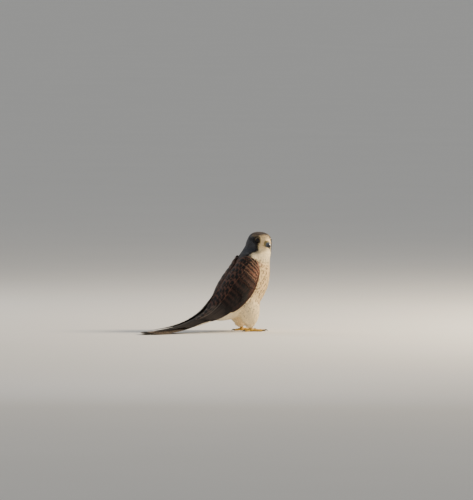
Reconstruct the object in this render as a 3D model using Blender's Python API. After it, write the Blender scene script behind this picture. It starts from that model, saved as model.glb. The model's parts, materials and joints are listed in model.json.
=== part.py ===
"""A common kestrel at life size, standing with its head turned over its right shoulder.

Metres, +Z up, the bird faces +X and its right side is -Y. The floor is Z = 0.
The body is one lofted form, parted into torso, neck and head by thin flat gaps.
"""

import math

import bmesh
import bpy
import numpy as np
from mathutils import Matrix, Vector
from mathutils.bvhtree import BVHTree

MM = 0.001
GAP = 0.3 * MM  # the gap kept between touching pieces

# The frame's origin lies under the middle of the finished bird's box.
ORIGIN_SHIFT = np.array([82.6, 0.0, 0.0]) * MM

# Head: the eyes' middle, and the directions of a head that looks right and a little down.
EYE_LEVEL = np.array([28.0, -6.0, 163.5]) * MM
HEAD_TURN = math.radians(-90.0)
HEAD_NOD = math.radians(12.0)
EYE_SPOT = (6.6 * MM, 10.8 * MM, 1.6 * MM)  # forward, outward and up
EYE_AIM = (0.74, 1.0, 0.16)
EYE_RADIUS = 5.4 * MM
LID_RADIUS = 5.2 * MM
LID_THICKNESS = 0.85 * MM
LID_OUT = 3.7 * MM

# Legs and feet, right side; the left side mirrors them.
FOOT_SPOT = np.array([0.0, -17.0, 0.0]) * MM
TARSUS_BOTTOM = 6.6 * MM
TROUSER_BOTTOM = 11.0 * MM
TARSUS_RADIUS = 2.3 * MM
TOE_RADIUS = 2.2 * MM
CLAW_LENGTH = 8.5 * MM
CLAW_RADIUS = 1.25 * MM


def head_axes():
    """Forward, left and up of the head."""
    level = np.array([math.cos(HEAD_TURN), math.sin(HEAD_TURN), 0.0])
    up = np.array([0.0, 0.0, 1.0])
    forward = level * math.cos(HEAD_NOD) - up * math.sin(HEAD_NOD)
    crown = level * math.sin(HEAD_NOD) + up * math.cos(HEAD_NOD)
    return forward, np.cross(crown, forward), crown


HEAD_FORWARD, HEAD_LEFT, HEAD_UP = head_axes()


def in_head(forward, left, up):
    """A point given along the head's own directions, from the eyes' middle."""
    return EYE_LEVEL + HEAD_FORWARD * forward + HEAD_LEFT * left + HEAD_UP * up


def body_ring(x, z, rise_deg, front, back, side):
    """One ring of torso or tail: its middle, the axis' rise there and its reach each way."""
    rise = math.radians(rise_deg)
    axis = (math.cos(rise), 0.0, math.sin(rise))
    return (x * MM, 0.0, z * MM, *axis, front * MM, back * MM, side * MM, 0.0)


def head_ring(forward, up, front, back, side):
    """One ring of the head, level in the head's own frame."""
    centre = in_head(forward * MM, 0.0, up * MM)
    return (*centre, *HEAD_UP, front * MM, back * MM, side * MM, 1.0)


# From under the tail to the crown: reach to the breast (or face), to the back, to each side.
BODY_RINGS = np.array(
    [
        body_ring(-76.0, 27.0, 30.0, 0.4, 0.4, 0.6),
        body_ring(-71.0, 30.0, 30.0, 9.0, 5.5, 10.5),
        body_ring(-61.0, 37.0, 36.0, 20.0, 12.0, 20.0),
        body_ring(-46.0, 48.0, 41.0, 31.0, 21.0, 29.0),
        body_ring(-28.0, 63.0, 46.0, 42.0, 30.0, 36.0),
        body_ring(-11.0, 79.0, 50.0, 43.0, 34.5, 38.5),
        body_ring(4.0, 97.0, 56.0, 39.0, 34.5, 37.5),
        body_ring(12.0, 113.5, 66.0, 33.0, 32.5, 33.5),
        body_ring(16.5, 127.0, 76.0, 27.0, 29.5, 29.0),
        body_ring(20.0, 138.0, 84.0, 25.0, 27.5, 26.5),
        head_ring(-7.5, -16.0, 26.5, 25.5, 24.0),
        head_ring(-7.0, -8.5, 26.5, 24.0, 23.3),
        head_ring(-6.0, -1.0, 26.5, 22.0, 21.8),
        head_ring(-6.0, 5.0, 23.5, 19.0, 19.3),
        head_ring(-6.0, 9.2, 17.5, 14.5, 15.0),
        head_ring(-6.0, 11.6, 9.5, 8.5, 8.8),
        head_ring(-6.0, 12.4, 0.4, 0.4, 0.4),
    ]
)
FACE_POWER = 1.6  # under 2 draws the face in towards the bill
TAIL_END = 1.0  # ring numbers where one node gives way to the next
NECK_FROM = 8.6
HEAD_FROM = 10.1

# From the tail's tip to its root: reach down, up and to each side.
TAIL_RINGS = np.array(
    [
        body_ring(-217.0, 2.6, 0.0, 2.3, 1.9, 14.0),
        body_ring(-210.0, 2.7, 1.0, 2.5, 2.0, 19.5),
        body_ring(-192.0, 3.0, 2.0, 2.6, 2.0, 20.5),
        body_ring(-170.0, 4.6, 6.0, 2.8, 2.2, 19.0),
        body_ring(-145.0, 7.8, 10.0, 3.0, 2.6, 17.5),
        body_ring(-120.0, 12.8, 14.0, 3.5, 3.3, 15.5),
        body_ring(-97.0, 19.4, 19.0, 5.0, 4.2, 13.5),
        body_ring(-80.0, 25.7, 25.0, 7.6, 5.0, 11.5),
        body_ring(-71.0, 30.0, 30.0, 9.0, 5.5, 10.5),
    ]
)

# Right wing, shoulder to tip: lower edge, upper edge, how far it swells, the core's depth.
WING_ROWS = (
    np.array(
        [
            (6.0, -28.0, 125.0, 6.0, -23.0, 130.0, 0.4, 1.6),
            (5.0, -36.5, 111.0, -3.0, -13.0, 128.5, 3.0, 3.6),
            (-1.5, -40.5, 92.0, -16.0, -7.5, 117.5, 6.0, 4.0),
            (-13.0, -42.5, 71.0, -32.0, -5.5, 102.5, 8.0, 3.8),
            (-35.0, -40.5, 48.0, -48.5, -5.0, 83.0, 7.5, 3.2),
            (-60.0, -34.5, 31.5, -67.5, -5.0, 60.0, 5.0, 2.4),
            (-88.0, -27.5, 20.0, -89.0, -5.5, 38.0, 3.0, 2.0),
            (-120.0, -20.5, 12.5, -119.0, -6.0, 22.5, 1.6, 1.6),
            (-156.0, -15.5, 8.5, -155.0, -6.0, 12.5, 0.6, 1.2),
            (-196.0, -12.5, 5.6, -196.5, -6.5, 6.8, 0.1, 0.9),
        ]
    )
    * MM
)
WING_KEEP = 1.3 * MM  # the least distance from the wing's core to the body
WING_RIDE = 2.3 * MM  # the least height of the wing's surface over body and tail
VANE_KEEP = 1.4 * MM  # the least height of a wing feather's underside over the same
CORE_END = 5.6  # the row where the core runs out under the feathers
CORE_STATIONS = 13
CORE_COLUMNS = 6
CORE_EDGE = 0.3  # the core's depth at its edges, as a share of its depth in the middle
VANE_THICKNESS = 0.55 * MM
VANE_CROWD = 0.6  # under 1 a vane's stations crowd towards its tip
VANE_ROOT_WIDTH = 0.42  # shares of a vane's full width
VANE_TIP_WIDTH = 0.3

# Feathers of the right wing, tier by tier: how many, rows of the first and last root and tip, the
# share of the way from lower to upper edge of the same, half width, lift at root and tip, lift
# gained from one to the next, roll, stations, how blunt the tip is. Lengths in mm, roll in degrees.
WING_TIERS = {
    "primary": (4, (5.1, 4.9), (9, 6.9), (0.2, 0.5), (0.42, 0.9), 6, (-0.6, 0), 0.45, 6, 4, 0.5),
    "secondary": (5, (4.1, 4.3), (6.25, 6.2), (0.15, 0.66), (0.1, 0.72), 6.4, (-0.6, 2.2), 0, 8, 4, 0.7),
    "tertial": (3, (4.1, 4.1), (6.6, 6.1), (0.74, 0.93), (0.72, 0.96), 7, (-0.6, 3.4), 0, 7, 4, 0.7),
    "greater": (4, (3.1, 3.3), (4.6, 4.8), (0.14, 0.72), (0.1, 0.72), 7.6, (-0.6, 3), 0, 8, 3, 0.7),
    "median": (4, (1.7, 2), (3.1, 3.3), (0.14, 0.74), (0.12, 0.74), 7.6, (-0.6, 2.6), 0, 8, 3, 0.7),
    "scapular": (4, (0.8, 3.4), (2.1, 5.1), (0.95, 0.95), (0.89, 0.89), 7.2, (-0.8, 3.6), 0, 6, 3, 0.7),
}
FIRST_SIDES = (0.4, 1.0)  # the outermost vane of a tier has a narrow outer web

# Left half of the tail, middle feather to outermost: their number, the ring of the first and last
# root and tip, how far those lie from the middle, inner and outer web, and the step down.
TAIL_VANES = 6
TAIL_ROOT_AT = (5.6, 5.6)
TAIL_TIP_AT = (0.0, 1.4)
TAIL_ROOT_OFF = (1.2 * MM, 7.0 * MM)
TAIL_TIP_OFF = (1.2 * MM, 14.2 * MM)
TAIL_INNER = (1.0 * MM, 10.0 * MM)
TAIL_OUTER = (10.6 * MM, 5.6 * MM)
TAIL_STEP = 0.86 * MM
TAIL_ARCH = 1.3 * MM
TAIL_HALF = 20.0 * MM
TAIL_CORE_END = 3.3
TAIL_CORE_TAPER = 1.8  # over how many rings the core thins out

# Right leg's feathered part from the bottom up: middle, reach forward and back, reach sideways.
TROUSER_ROWS = (
    np.array(
        [
            (-1.0, -17.5, 11.0, 5.0, 5.0, 5.0),
            (-2.0, -17.6, 14.0, 9.0, 10.0, 8.6),
            (-3.0, -18.0, 20.0, 14.5, 16.0, 12.4),
            (-4.5, -18.4, 30.0, 19.5, 21.0, 15.4),
            (-7.0, -19.0, 40.0, 22.5, 24.0, 16.2),
            (-10.0, -20.0, 51.0, 22.5, 24.0, 15.6),
            (-13.0, -20.5, 62.0, 18.0, 20.0, 13.6),
            (-15.0, -18.0, 72.0, 10.0, 12.0, 8.0),
        ]
    )
    * MM
)

# Toes: heading from straight ahead (outward is positive), length, and whether it is the hind toe.
TOES = {
    "middle": (6.0, 25.0 * MM, 1.0),
    "inner": (-28.0, 18.0 * MM, 0.96),
    "outer": (38.0, 18.5 * MM, 0.92),
    "hind": (172.0, 12.5 * MM, 0.94),
}
TOE_START = 2.0 * MM

# Bill, cere and lower bill, in the head's forward and up directions: top, bottom, half width.
UPPER_BILL = (
    (23.4, 2.2, 23.4, -4.7, 4.5),
    (25.6, 1.6, 25.4, -5.0, 4.1),
    (27.8, 0.1, 27.0, -5.5, 3.4),
    (29.7, -2.3, 28.5, -6.6, 2.5),
    (30.9, -5.2, 29.7, -7.0, 1.6),
    (31.2, -7.8, 30.4, -8.4, 0.8),
)
UPPER_BILL_TIP = (30.7, -9.8)
CERE = (
    (17.0, 3.4, 17.0, -4.4, 5.2),
    (19.8, 3.4, 19.8, -4.6, 5.3),
    (22.0, 2.9, 22.0, -4.7, 5.0),
    (23.1, 2.3, 23.1, -4.7, 4.6),
)
LOWER_BILL = (
    (17.0, -4.8, 17.0, -8.8, 4.2),
    (21.0, -5.0, 21.0, -9.0, 4.2),
    (24.5, -5.2, 24.8, -8.8, 3.7),
    (26.6, -5.8, 27.0, -8.2, 2.6),
    (27.9, -6.8, 28.1, -7.9, 1.4),
)
NOSTRIL_SPOT = (21.3, 0.4)
NOSTRIL_RADIUS = 0.8 * MM
NOSTRIL_ENDS = (6.0 * MM, 2.6 * MM)  # from outside in
MOUTH_ENDS = ((20.8, 4.6, -4.9), (12.5, 13.0, -6.4))  # forward, outward and up
MOUTH_GROOVE = 0.55 * MM


def along(rows, at):
    """Rows read at a whole or broken row number, by a smooth curve through them."""
    last = len(rows) - 1
    i = int(min(max(math.floor(at), 0), last - 1))
    t = at - i
    before, after = rows[max(i - 1, 0)], rows[min(i + 2, last)]
    a, b = rows[i], rows[i + 1]
    bend = (2 * before - 5 * a + 4 * b - after) * t * t
    return 0.5 * (2 * a + (b - before) * t + bend + (3 * a - before - 3 * b + after) * t**3)


def ring_frame(rows, at):
    """The middle, forward, left and four numbers of a ring."""
    row = along(rows, at)
    axis = row[3:6] / np.linalg.norm(row[3:6])
    ahead = np.array([1.0, 0.0, 0.0]) - axis * axis[0]
    if axis[0] > 0.97:
        ahead = np.array([axis[2], 0.0, -axis[0]])
    ahead /= np.linalg.norm(ahead)
    return row[:3], ahead, np.cross(axis, ahead), np.maximum(row[6:10], [0.1 * MM] * 3 + [0.0])


def ring_point(rows, at, angle, grow=0.0):
    """A surface point at a ring number and an angle from the breast round to the left."""
    centre, ahead, left, (front, back, side, turn) = ring_frame(rows, at)
    radius = 0.0
    for share, own, sharp in ((1 - turn, angle, 2.0), (turn, angle - HEAD_TURN, FACE_POWER)):
        forward, aside = math.cos(own), math.sin(own)
        reach, power = (front, sharp) if forward > 0 else (back, 2.0)
        length = abs(forward / reach) ** power + abs(aside / side) ** power
        radius += share * length ** (-1.0 / power)
    point = centre + (ahead * math.cos(angle) + left * math.sin(angle)) * (radius + grow)
    if turn > 0.99:
        inward = (centre - point) / np.linalg.norm(centre - point)
        point = point + inward * eye_hollow(point)
    return point


def eye_hollow(point):
    """How far the head sinks round each eye, less the swelling of its brow."""
    sink = 0.0
    for side in (-1.0, 1.0):
        eye = eye_centre(side) + eye_axis(side) * 4.4 * MM
        sink += 0.9 * MM * math.exp(-((np.linalg.norm(point - eye) / (7.5 * MM)) ** 2))
        brow = eye + HEAD_UP * 6.5 * MM
        sink -= 1.2 * MM * math.exp(-((np.linalg.norm(point - brow) / (5.0 * MM)) ** 2))
    return sink


def eye_centre(side):
    """The middle of an eye; side is 1 for the bird's left."""
    return in_head(EYE_SPOT[0], side * EYE_SPOT[1], EYE_SPOT[2])


def eye_axis(side):
    """The direction an eye looks in."""
    aim = HEAD_FORWARD * EYE_AIM[0] + HEAD_LEFT * side * EYE_AIM[1] + HEAD_UP * EYE_AIM[2]
    return aim / np.linalg.norm(aim)


def closed_rings(rings, flat_ends=(True, True)):
    """Points and faces of a tube through rings of points, capped flat or in a fan."""
    sides, points, faces = len(rings[0]), [p for ring in rings for p in ring], []
    for i in range(len(rings) - 1):
        for k in range(sides):
            a, b = i * sides + k, i * sides + (k + 1) % sides
            faces.append((a, b, b + sides, a + sides))
    for end, row in ((0, 0), (1, len(rings) - 1)):
        ring = [row * sides + k for k in range(sides)]
        if end == 0:
            ring.reverse()
        if flat_ends[end]:
            faces.append(tuple(ring))
        else:
            points.append(np.mean([points[j] for j in ring], axis=0))
            faces += [(ring[k], ring[(k + 1) % sides], len(points) - 1) for k in range(sides)]
    return points, faces


def loft(rows, first, last, count, sides, flat_ends=(True, True)):
    """Points and faces of a ring-built form between two ring numbers."""
    angles = [2 * math.pi * k / sides for k in range(sides)]
    stops = np.linspace(first, last, count)
    return closed_rings([[ring_point(rows, at, a) for a in angles] for at in stops], flat_ends)


def mesh_object(name, points, faces):
    """A new object with this mesh and its faces turned outward."""
    mesh = bpy.data.meshes.new(name)
    mesh.from_pydata([tuple(p) for p in points], [], faces)
    editor = bmesh.new()
    editor.from_mesh(mesh)
    bmesh.ops.recalc_face_normals(editor, faces=editor.faces)
    editor.to_mesh(mesh)
    editor.free()
    thing = bpy.data.objects.new(name, mesh)
    bpy.context.scene.collection.objects.link(thing)
    return thing


def combine(target, other, operation, solver="MANIFOLD"):
    """Applies a Boolean of other onto target and takes other away."""
    step = target.modifiers.new(operation.lower(), "BOOLEAN")
    step.operation, step.object, step.solver = operation, other, solver
    bpy.ops.object.select_all(action="DESELECT")
    bpy.context.view_layer.objects.active = target
    target.select_set(True)
    bpy.ops.object.modifier_apply(modifier=step.name)
    bpy.data.objects.remove(other)


def keep_largest(thing):
    """Drops all but the largest closed surface of a mesh."""
    editor = bmesh.new()
    editor.from_mesh(thing.data)
    left, islands = set(editor.verts), []
    while left:
        todo, island = [left.pop()], []
        while todo:
            vert = todo.pop()
            island.append(vert)
            for edge in vert.link_edges:
                other = edge.other_vert(vert)
                if other in left:
                    left.remove(other)
                    todo.append(other)
        islands.append(island)
    islands.sort(key=len)
    for island in islands[:-1]:
        bmesh.ops.delete(editor, geom=island, context="VERTS")
    editor.to_mesh(thing.data)
    editor.free()


def mirrored(points):
    """The same points on the bird's other side."""
    return [np.array([p[0], -p[1], p[2]]) for p in points]


def surface_tree(points, faces):
    """A search tree over a surface."""
    return BVHTree.FromPolygons([tuple(p) for p in points], faces)


def pushed_clear(tree, point, keep):
    """The point, moved outward where it is nearer to the surface than keep."""
    spot, normal, _, _ = tree.find_nearest(Vector(point))
    height = (Vector(point) - spot).dot(normal)
    if height >= keep:
        return np.array(point)
    return np.array(point) + np.array(normal) * (keep - height)


def material(name, colour, roughness, metallic=0.0):
    """A plain Principled BSDF with a linear base colour."""
    made = bpy.data.materials.new(name)
    made.use_nodes = True
    shader = made.node_tree.nodes["Principled BSDF"]
    shader.inputs["Base Color"].default_value = (*colour, 1.0)
    shader.inputs["Roughness"].default_value = roughness
    shader.inputs["Metallic"].default_value = metallic
    made.diffuse_color = (*colour, 1.0)
    return made


def build_body():
    """Torso, neck and head as three lofts that meet across thin flat gaps."""
    gap = 0.03
    torso = mesh_object("torso", *loft(BODY_RINGS, TAIL_END, NECK_FROM - gap / 2, 19, 32))
    neck = mesh_object("neck", *loft(BODY_RINGS, NECK_FROM + gap / 2, HEAD_FROM - gap, 5, 36))
    head_rings = loft(BODY_RINGS, HEAD_FROM + gap, len(BODY_RINGS) - 1.0, 14, 38)
    return torso, neck, mesh_object("head", *head_rings)


def ball(centre, radius, axis, rings=12, sides=20):
    """A closed ball with its poles on an axis."""
    axis, across, up = frame_of(axis)
    rows = []
    for i in range(rings + 1):
        polar = math.pi * (0.02 + 0.96 * i / rings)
        row = []
        for k in range(sides):
            turn = 2 * math.pi * k / sides
            flat = across * math.cos(turn) + up * math.sin(turn)
            row.append(centre + (axis * math.cos(polar) + flat * math.sin(polar)) * radius)
        rows.append(row)
    return closed_rings(rows)


def frame_of(axis):
    """The axis with two directions square to it."""
    axis = np.array(axis, float) / np.linalg.norm(axis)
    helper = np.array([0.0, 0.0, 1.0]) if abs(axis[2]) < 0.9 else np.array([1.0, 0.0, 0.0])
    across = np.cross(axis, helper)
    across /= np.linalg.norm(across)
    return axis, across, np.cross(axis, across)


def lid_ring(side, thickness, sides=20, section=6):
    """The bare ring of skin round an eye, as a torus drawn out a little fore and aft."""
    axis, across, up = frame_of(eye_axis(side))
    middle = eye_centre(side) + axis * LID_OUT
    points, faces = [], []
    for i in range(sides):
        turn = 2 * math.pi * i / sides
        out = across * math.cos(turn) + up * math.sin(turn)
        for k in range(section):
            roll = 2 * math.pi * k / section
            reach = LID_RADIUS + thickness * math.cos(roll)
            points.append(middle + out * reach + axis * thickness * math.sin(roll))
            a, b = i * section + k, i * section + (k + 1) % section
            c, d = (a + section) % (sides * section), (b + section) % (sides * section)
            faces.append((a, b, d, c))
    return points, faces


def bill_tube(stations, arch, grow=0.0, tip=None, section=16):
    """A tube through bill stations, arched up (1) or down (-1) from a nearly flat side."""
    rings = []
    for top_f, top_u, bottom_f, bottom_u, width in stations:
        ends = [in_head(top_f * MM, 0.0, top_u * MM), in_head(bottom_f * MM, 0.0, bottom_u * MM)]
        crest, base = ends if arch > 0 else ends[::-1]
        rise = (crest - base) / np.linalg.norm(crest - base)
        crest, base = crest + rise * grow, base - rise * grow
        ring = []
        for k in range(section):
            roll = 2 * math.pi * (k + 0.5) / section
            height = 0.34 + 0.66 * math.cos(roll) if math.cos(roll) > 0 else 0.34 * (
                1 - (-math.cos(roll)) ** 0.45
            )
            aside = math.copysign(abs(math.sin(roll)) ** 0.85, math.sin(roll))
            aside *= width * MM + grow
            ring.append(base + (crest - base) * height + HEAD_LEFT * aside)
        rings.append(ring)
    if tip is None:
        return closed_rings(rings)
    points, faces = closed_rings(rings, (True, False))
    points[-1] = in_head(tip[0] * MM, 0.0, tip[1] * MM)
    return points, faces


def build_face(head):
    """Eyes, lids, cere and bill, each with the room it needs taken out of the head."""
    made = []
    skin = surface_tree([v.co[:] for v in head.data.vertices],
                        [p.vertices[:] for p in head.data.polygons])
    for side, name in ((-1, "right"), (1, "left")):
        centre, aim = eye_centre(side), eye_axis(side)
        made.append(mesh_object("eye_" + name, *ball(centre, EYE_RADIUS, aim, 8, 16)))
        made.append(mesh_object("eyelid_" + name, *lid_ring(side, LID_THICKNESS)))
        combine(head, mesh_object("cut", *ball(centre, EYE_RADIUS + GAP, aim, 8, 16)), "DIFFERENCE")
        combine(head, mesh_object("cut", *lid_ring(side, LID_THICKNESS + GAP)), "DIFFERENCE")
        line = []
        for t in np.linspace(0.0, 1.0, 9):
            f, out, u = (1 - t) * np.array(MOUTH_ENDS[0]) + t * np.array(MOUTH_ENDS[1])
            spot = Vector(in_head(f * MM, side * out * MM, u * MM))
            line.append(np.array(skin.find_nearest(spot)[0]))
        groove = tube(line, MOUTH_GROOVE * (1.0 - 0.5 * np.linspace(0.0, 1.0, 9) ** 3), 8)
        combine(head, mesh_object("cut", *groove), "DIFFERENCE")
    cere = mesh_object("cere", *bill_tube(CERE, 1))
    for side in (-1.0, 1.0):
        hole = [
            in_head(NOSTRIL_SPOT[0] * MM, side * reach, NOSTRIL_SPOT[1] * MM)
            for reach in NOSTRIL_ENDS
        ]
        combine(cere, mesh_object("cut", *tube(hole, [NOSTRIL_RADIUS] * 2, 12)), "DIFFERENCE")
    made.append(cere)
    made.append(mesh_object("bill_upper", *bill_tube(UPPER_BILL, 1, tip=UPPER_BILL_TIP)))
    made.append(mesh_object("bill_lower", *bill_tube(LOWER_BILL, -1)))
    for stations, arch, back_by, grow in ((CERE, 1, 0.4, 1.0), (LOWER_BILL, -1, 0.7, 1.7)):
        _, top, _, bottom, width = stations[0]
        start = stations[0][0] - back_by
        room = ((start, top, start, bottom, width), *stations)
        combine(head, mesh_object("cut", *bill_tube(room, arch, GAP * grow)), "DIFFERENCE")
    keep_largest(head)
    return made


def wing_base(at, across):
    """A point of the right wing's surface and the way out of it, before it is kept clear."""

    def plain(a, b):
        row = along(WING_ROWS, a)
        return row[:3] + (row[3:6] - row[:3]) * b

    chord = plain(at, 1.0) - plain(at, 0.0)
    ahead = plain(at + 0.1, across) - plain(at - 0.1, across)
    out = np.cross(chord, ahead)
    out /= np.linalg.norm(out)
    inside = min(max(across, 0.0), 1.0)
    bell = 4 * inside * (1 - inside) - 1.5 * abs(across - inside)
    return plain(at, across) + out * along(WING_ROWS, at)[6] * bell, out


class Cloth:
    """The surface that a node's feathers lie on."""

    def __init__(self, base, trees, ride, keep):
        self.base, self.trees, self.ride, self.keep = base, trees, ride, keep

    def spot(self, a, b, lift=0.0):
        """The point over a place on the surface and the way out there."""
        point, out = self.base(a, b)
        for tree in self.trees:
            point = pushed_clear(tree, point, self.ride)
        return point + out * lift, out

    def beside(self, a, b, offset, lift):
        """A point a distance to the side of a place, still over the surface."""
        here, _ = self.spot(a, b)
        next_b, _ = self.spot(a, b + 0.05)
        step = offset / max(np.linalg.norm(next_b - here) / 0.05, 1.0 * MM)
        step = max(min(step, 0.75), -0.75)
        return self.clear(self.spot(a, b + step, lift)[0], 0.0)

    def clear(self, point, more):
        """The point moved clear of floor and body by the node's own distance and some more."""
        for tree in self.trees:
            point = pushed_clear(tree, point, self.keep + more)
        point[2] = max(point[2], more)
        return point


def vane_mesh(cloth, root, tip, half, lifts, roll_deg, stations, blunt, sides=(1.0, 1.0)):
    """One feather as a thin closed slip from root to tip, split alike on both faces.

    A station has six points: lower edge, shaft and upper edge, each above and below.
    """
    roll = math.tan(math.radians(roll_deg))
    rows = []
    for i in range(stations):
        t = (i / (stations - 1)) ** VANE_CROWD
        place = root + (tip - root) * t
        grown = min(1.0, VANE_ROOT_WIDTH + 1.5 * t)
        rounded = math.sqrt(max(0.0, 1 - (max(0.0, t - blunt) / (1.001 - blunt)) ** 2))
        width = half * grown * max(rounded, VANE_TIP_WIDTH)
        lift = lifts[0] + (lifts[1] - lifts[0]) * min(1.0, t / 0.8) ** 0.9
        row = []
        for share, side in ((-1, sides[0]), (0, 1.0), (1, sides[1])):
            offset = share * width * side
            height = lift - roll * offset
            low = cloth.beside(*place, offset, height - VANE_THICKNESS)
            high = cloth.clear(cloth.beside(*place, offset, height), VANE_THICKNESS)
            row.append((high, low))
        rows.append(row)
    points = [p for row in rows for pair in row for p in pair]
    faces = []
    for i in range(stations - 1):
        for k in range(2):
            for under in (0, 1):
                a, b = i * 6 + k * 2 + under, i * 6 + k * 2 + 2 + under
                quad = ((a, b, b + 6), (a, b + 6, a + 6))
                faces += [f if under else f[::-1] for f in quad]
        for edge, flip in ((0, False), (4, True)):
            a = i * 6 + edge
            quad = ((a, a + 1, a + 7), (a, a + 7, a + 6))
            faces += [f[::-1] if flip else f for f in quad]
    for i, flip in ((0, False), (stations - 1, True)):
        a = i * 6
        cap = ((a, a + 2, a + 3), (a, a + 3, a + 1), (a + 2, a + 4, a + 5), (a + 2, a + 5, a + 3))
        faces += [f[::-1] if flip else f for f in cap]
    return points, faces


def wing_vanes(cloth):
    """The feathers of the right wing, tier by tier."""
    made = []
    for tier in WING_TIERS.values():
        count, root_at, tip_at, root_across, tip_across = tier[:5]
        half, lifts, gain, roll, stations, blunt = tier[5:]
        for k in range(count):
            u = k / (count - 1)
            root, tip = [
                np.array([at[0] + (at[1] - at[0]) * u, across[0] + (across[1] - across[0]) * u])
                for at, across in ((root_at, root_across), (tip_at, tip_across))
            ]
            lift = ((lifts[0] + gain * k) * MM, (lifts[1] + gain * k) * MM)
            sides = FIRST_SIDES if k == 0 and root_across[0] < 0.5 else (1.0, 1.0)
            size = (half * MM, lift, roll, stations, blunt, sides)
            made.append(vane_mesh(cloth, root, tip, *size))
    return made


def wing_core(cloth, body_tree):
    """The solid middle of the right wing that its feathers grow from."""
    rings = []
    for at in np.linspace(0.0, CORE_END, CORE_STATIONS):
        depth = along(WING_ROWS, at)[7]
        outer, inner = [], []
        for across in np.linspace(0.0, 1.0, CORE_COLUMNS):
            high, out = cloth.spot(at, across)
            thin = CORE_EDGE + (1 - CORE_EDGE) * (4 * across * (1 - across)) ** 0.5
            low = pushed_clear(body_tree, high - out * depth * thin, WING_KEEP)
            outer.append(high)
            inner.append(low)
        rings.append(outer + inner[::-1])
    return closed_rings(rings)


def tail_base(at, across):
    """A point of the tail's upper surface and the way out of it."""
    centre, down, left, (_, up, _, _) = ring_frame(TAIL_RINGS, at)
    top = centre - down * (up - TAIL_ARCH * across * across)
    return top + left * TAIL_HALF * across, -down


def tail_vanes():
    """The feathers of both halves of the tail."""
    cloth = Cloth(tail_base, (), 0.0, 0.0)
    made = []
    for k in range(TAIL_VANES):
        u = k / (TAIL_VANES - 1)

        def between(pair):
            return pair[0] + (pair[1] - pair[0]) * u

        root = np.array([between(TAIL_ROOT_AT), between(TAIL_ROOT_OFF) / TAIL_HALF])
        tip = np.array([between(TAIL_TIP_AT), between(TAIL_TIP_OFF) / TAIL_HALF])
        lifts = (-k * TAIL_STEP, -k * TAIL_STEP)
        sides = (between(TAIL_INNER) / TAIL_HALF, between(TAIL_OUTER) / TAIL_HALF)
        points, faces = vane_mesh(cloth, root, tip, TAIL_HALF, lifts, 0, 4, 0.7, sides)
        made += [(points, faces), (mirrored(points), faces)]
    return made


def tail_core():
    """The solid root of the tail, which runs out under its feathers."""
    rings = []
    last = len(TAIL_RINGS) - 1.0
    for at in np.linspace(TAIL_CORE_END, last, 8):
        scale = min(1.0, (at - TAIL_CORE_END) / TAIL_CORE_TAPER + 0.05) ** 0.6
        centre = ring_frame(TAIL_RINGS, at)[0]
        turns = [2 * math.pi * k / 16 for k in range(16)]
        spots = [ring_point(TAIL_RINGS, at, turn) for turn in turns]
        rings.append([centre + (spot - centre) * scale for spot in spots])
    gap = BODY_RINGS[int(TAIL_END)][3:6] * GAP
    return closed_rings([[spot - gap for spot in ring] for ring in rings])


def join_all(name, pieces):
    """One closed solid from many overlapping ones."""
    group = bpy.data.collections.new(name + "_pieces")
    first = mesh_object(name, *pieces[0])
    for points, faces in pieces[1:]:
        thing = mesh_object("piece", points, faces)
        bpy.context.scene.collection.objects.unlink(thing)
        group.objects.link(thing)
    bpy.context.scene.collection.children.link(group)
    step = first.modifiers.new("join", "BOOLEAN")
    step.operation, step.operand_type, step.collection = "UNION", "COLLECTION", group
    step.solver = "MANIFOLD"
    bpy.ops.object.select_all(action="DESELECT")
    bpy.context.view_layer.objects.active = first
    first.select_set(True)
    bpy.ops.object.modifier_apply(modifier=step.name)
    for thing in list(group.objects):
        bpy.data.objects.remove(thing)
    bpy.data.collections.remove(group)
    keep_largest(first)
    return first


def build_trouser(side):
    """The feathered part of a leg; side is -1 for the right one."""
    rows, sides = [], 18
    for at in np.linspace(0, len(TROUSER_ROWS) - 1, 10):
        x, y, z, front, back, aside = along(TROUSER_ROWS, at)
        row = []
        for k in range(sides):
            turn = 2 * math.pi * k / sides
            reach = front if math.cos(turn) > 0 else back
            row.append(
                np.array([x + reach * math.cos(turn), y + aside * math.sin(turn), z])
            )
        rows.append(row)
    points, faces = closed_rings(rows)
    return (mirrored(points) if side > 0 else points), faces


def tube(path, radii, sides=12, first=None):
    """Points and faces of a tube along a path, with flat ends, the first square to a direction."""
    rings = []
    for i, (spot, radius) in enumerate(zip(path, radii)):
        ahead = path[min(i + 1, len(path) - 1)] - path[max(i - 1, 0)]
        if i == 0 and first is not None:
            ahead = first
        _, across, up = frame_of(ahead)
        turns = [2 * math.pi * k / sides for k in range(sides)]
        rings.append([spot + (across * math.cos(t) + up * math.sin(t)) * radius for t in turns])
    return closed_rings(rings)


def toe_path(name, steps=7):
    """The middle line of a right toe with its radii, from the foot's middle to its claw."""
    heading, length, thick = TOES[name]
    turn = math.radians(-heading)
    ahead = np.array([math.cos(turn), math.sin(turn), 0.0])
    path, radii = [], []
    for i in range(steps):
        t = i / (steps - 1)
        radius = TOE_RADIUS * thick * (1.08 - 0.26 * t) * (1 + 0.07 * math.cos(t * 6 * math.pi))
        height = radius * 0.93 + 1.6 * MM * (1 - t) ** 3
        path.append(FOOT_SPOT + ahead * (TOE_START + length * t) + np.array([0, 0, height]))
        radii.append(radius)
    return path, radii, ahead


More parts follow.
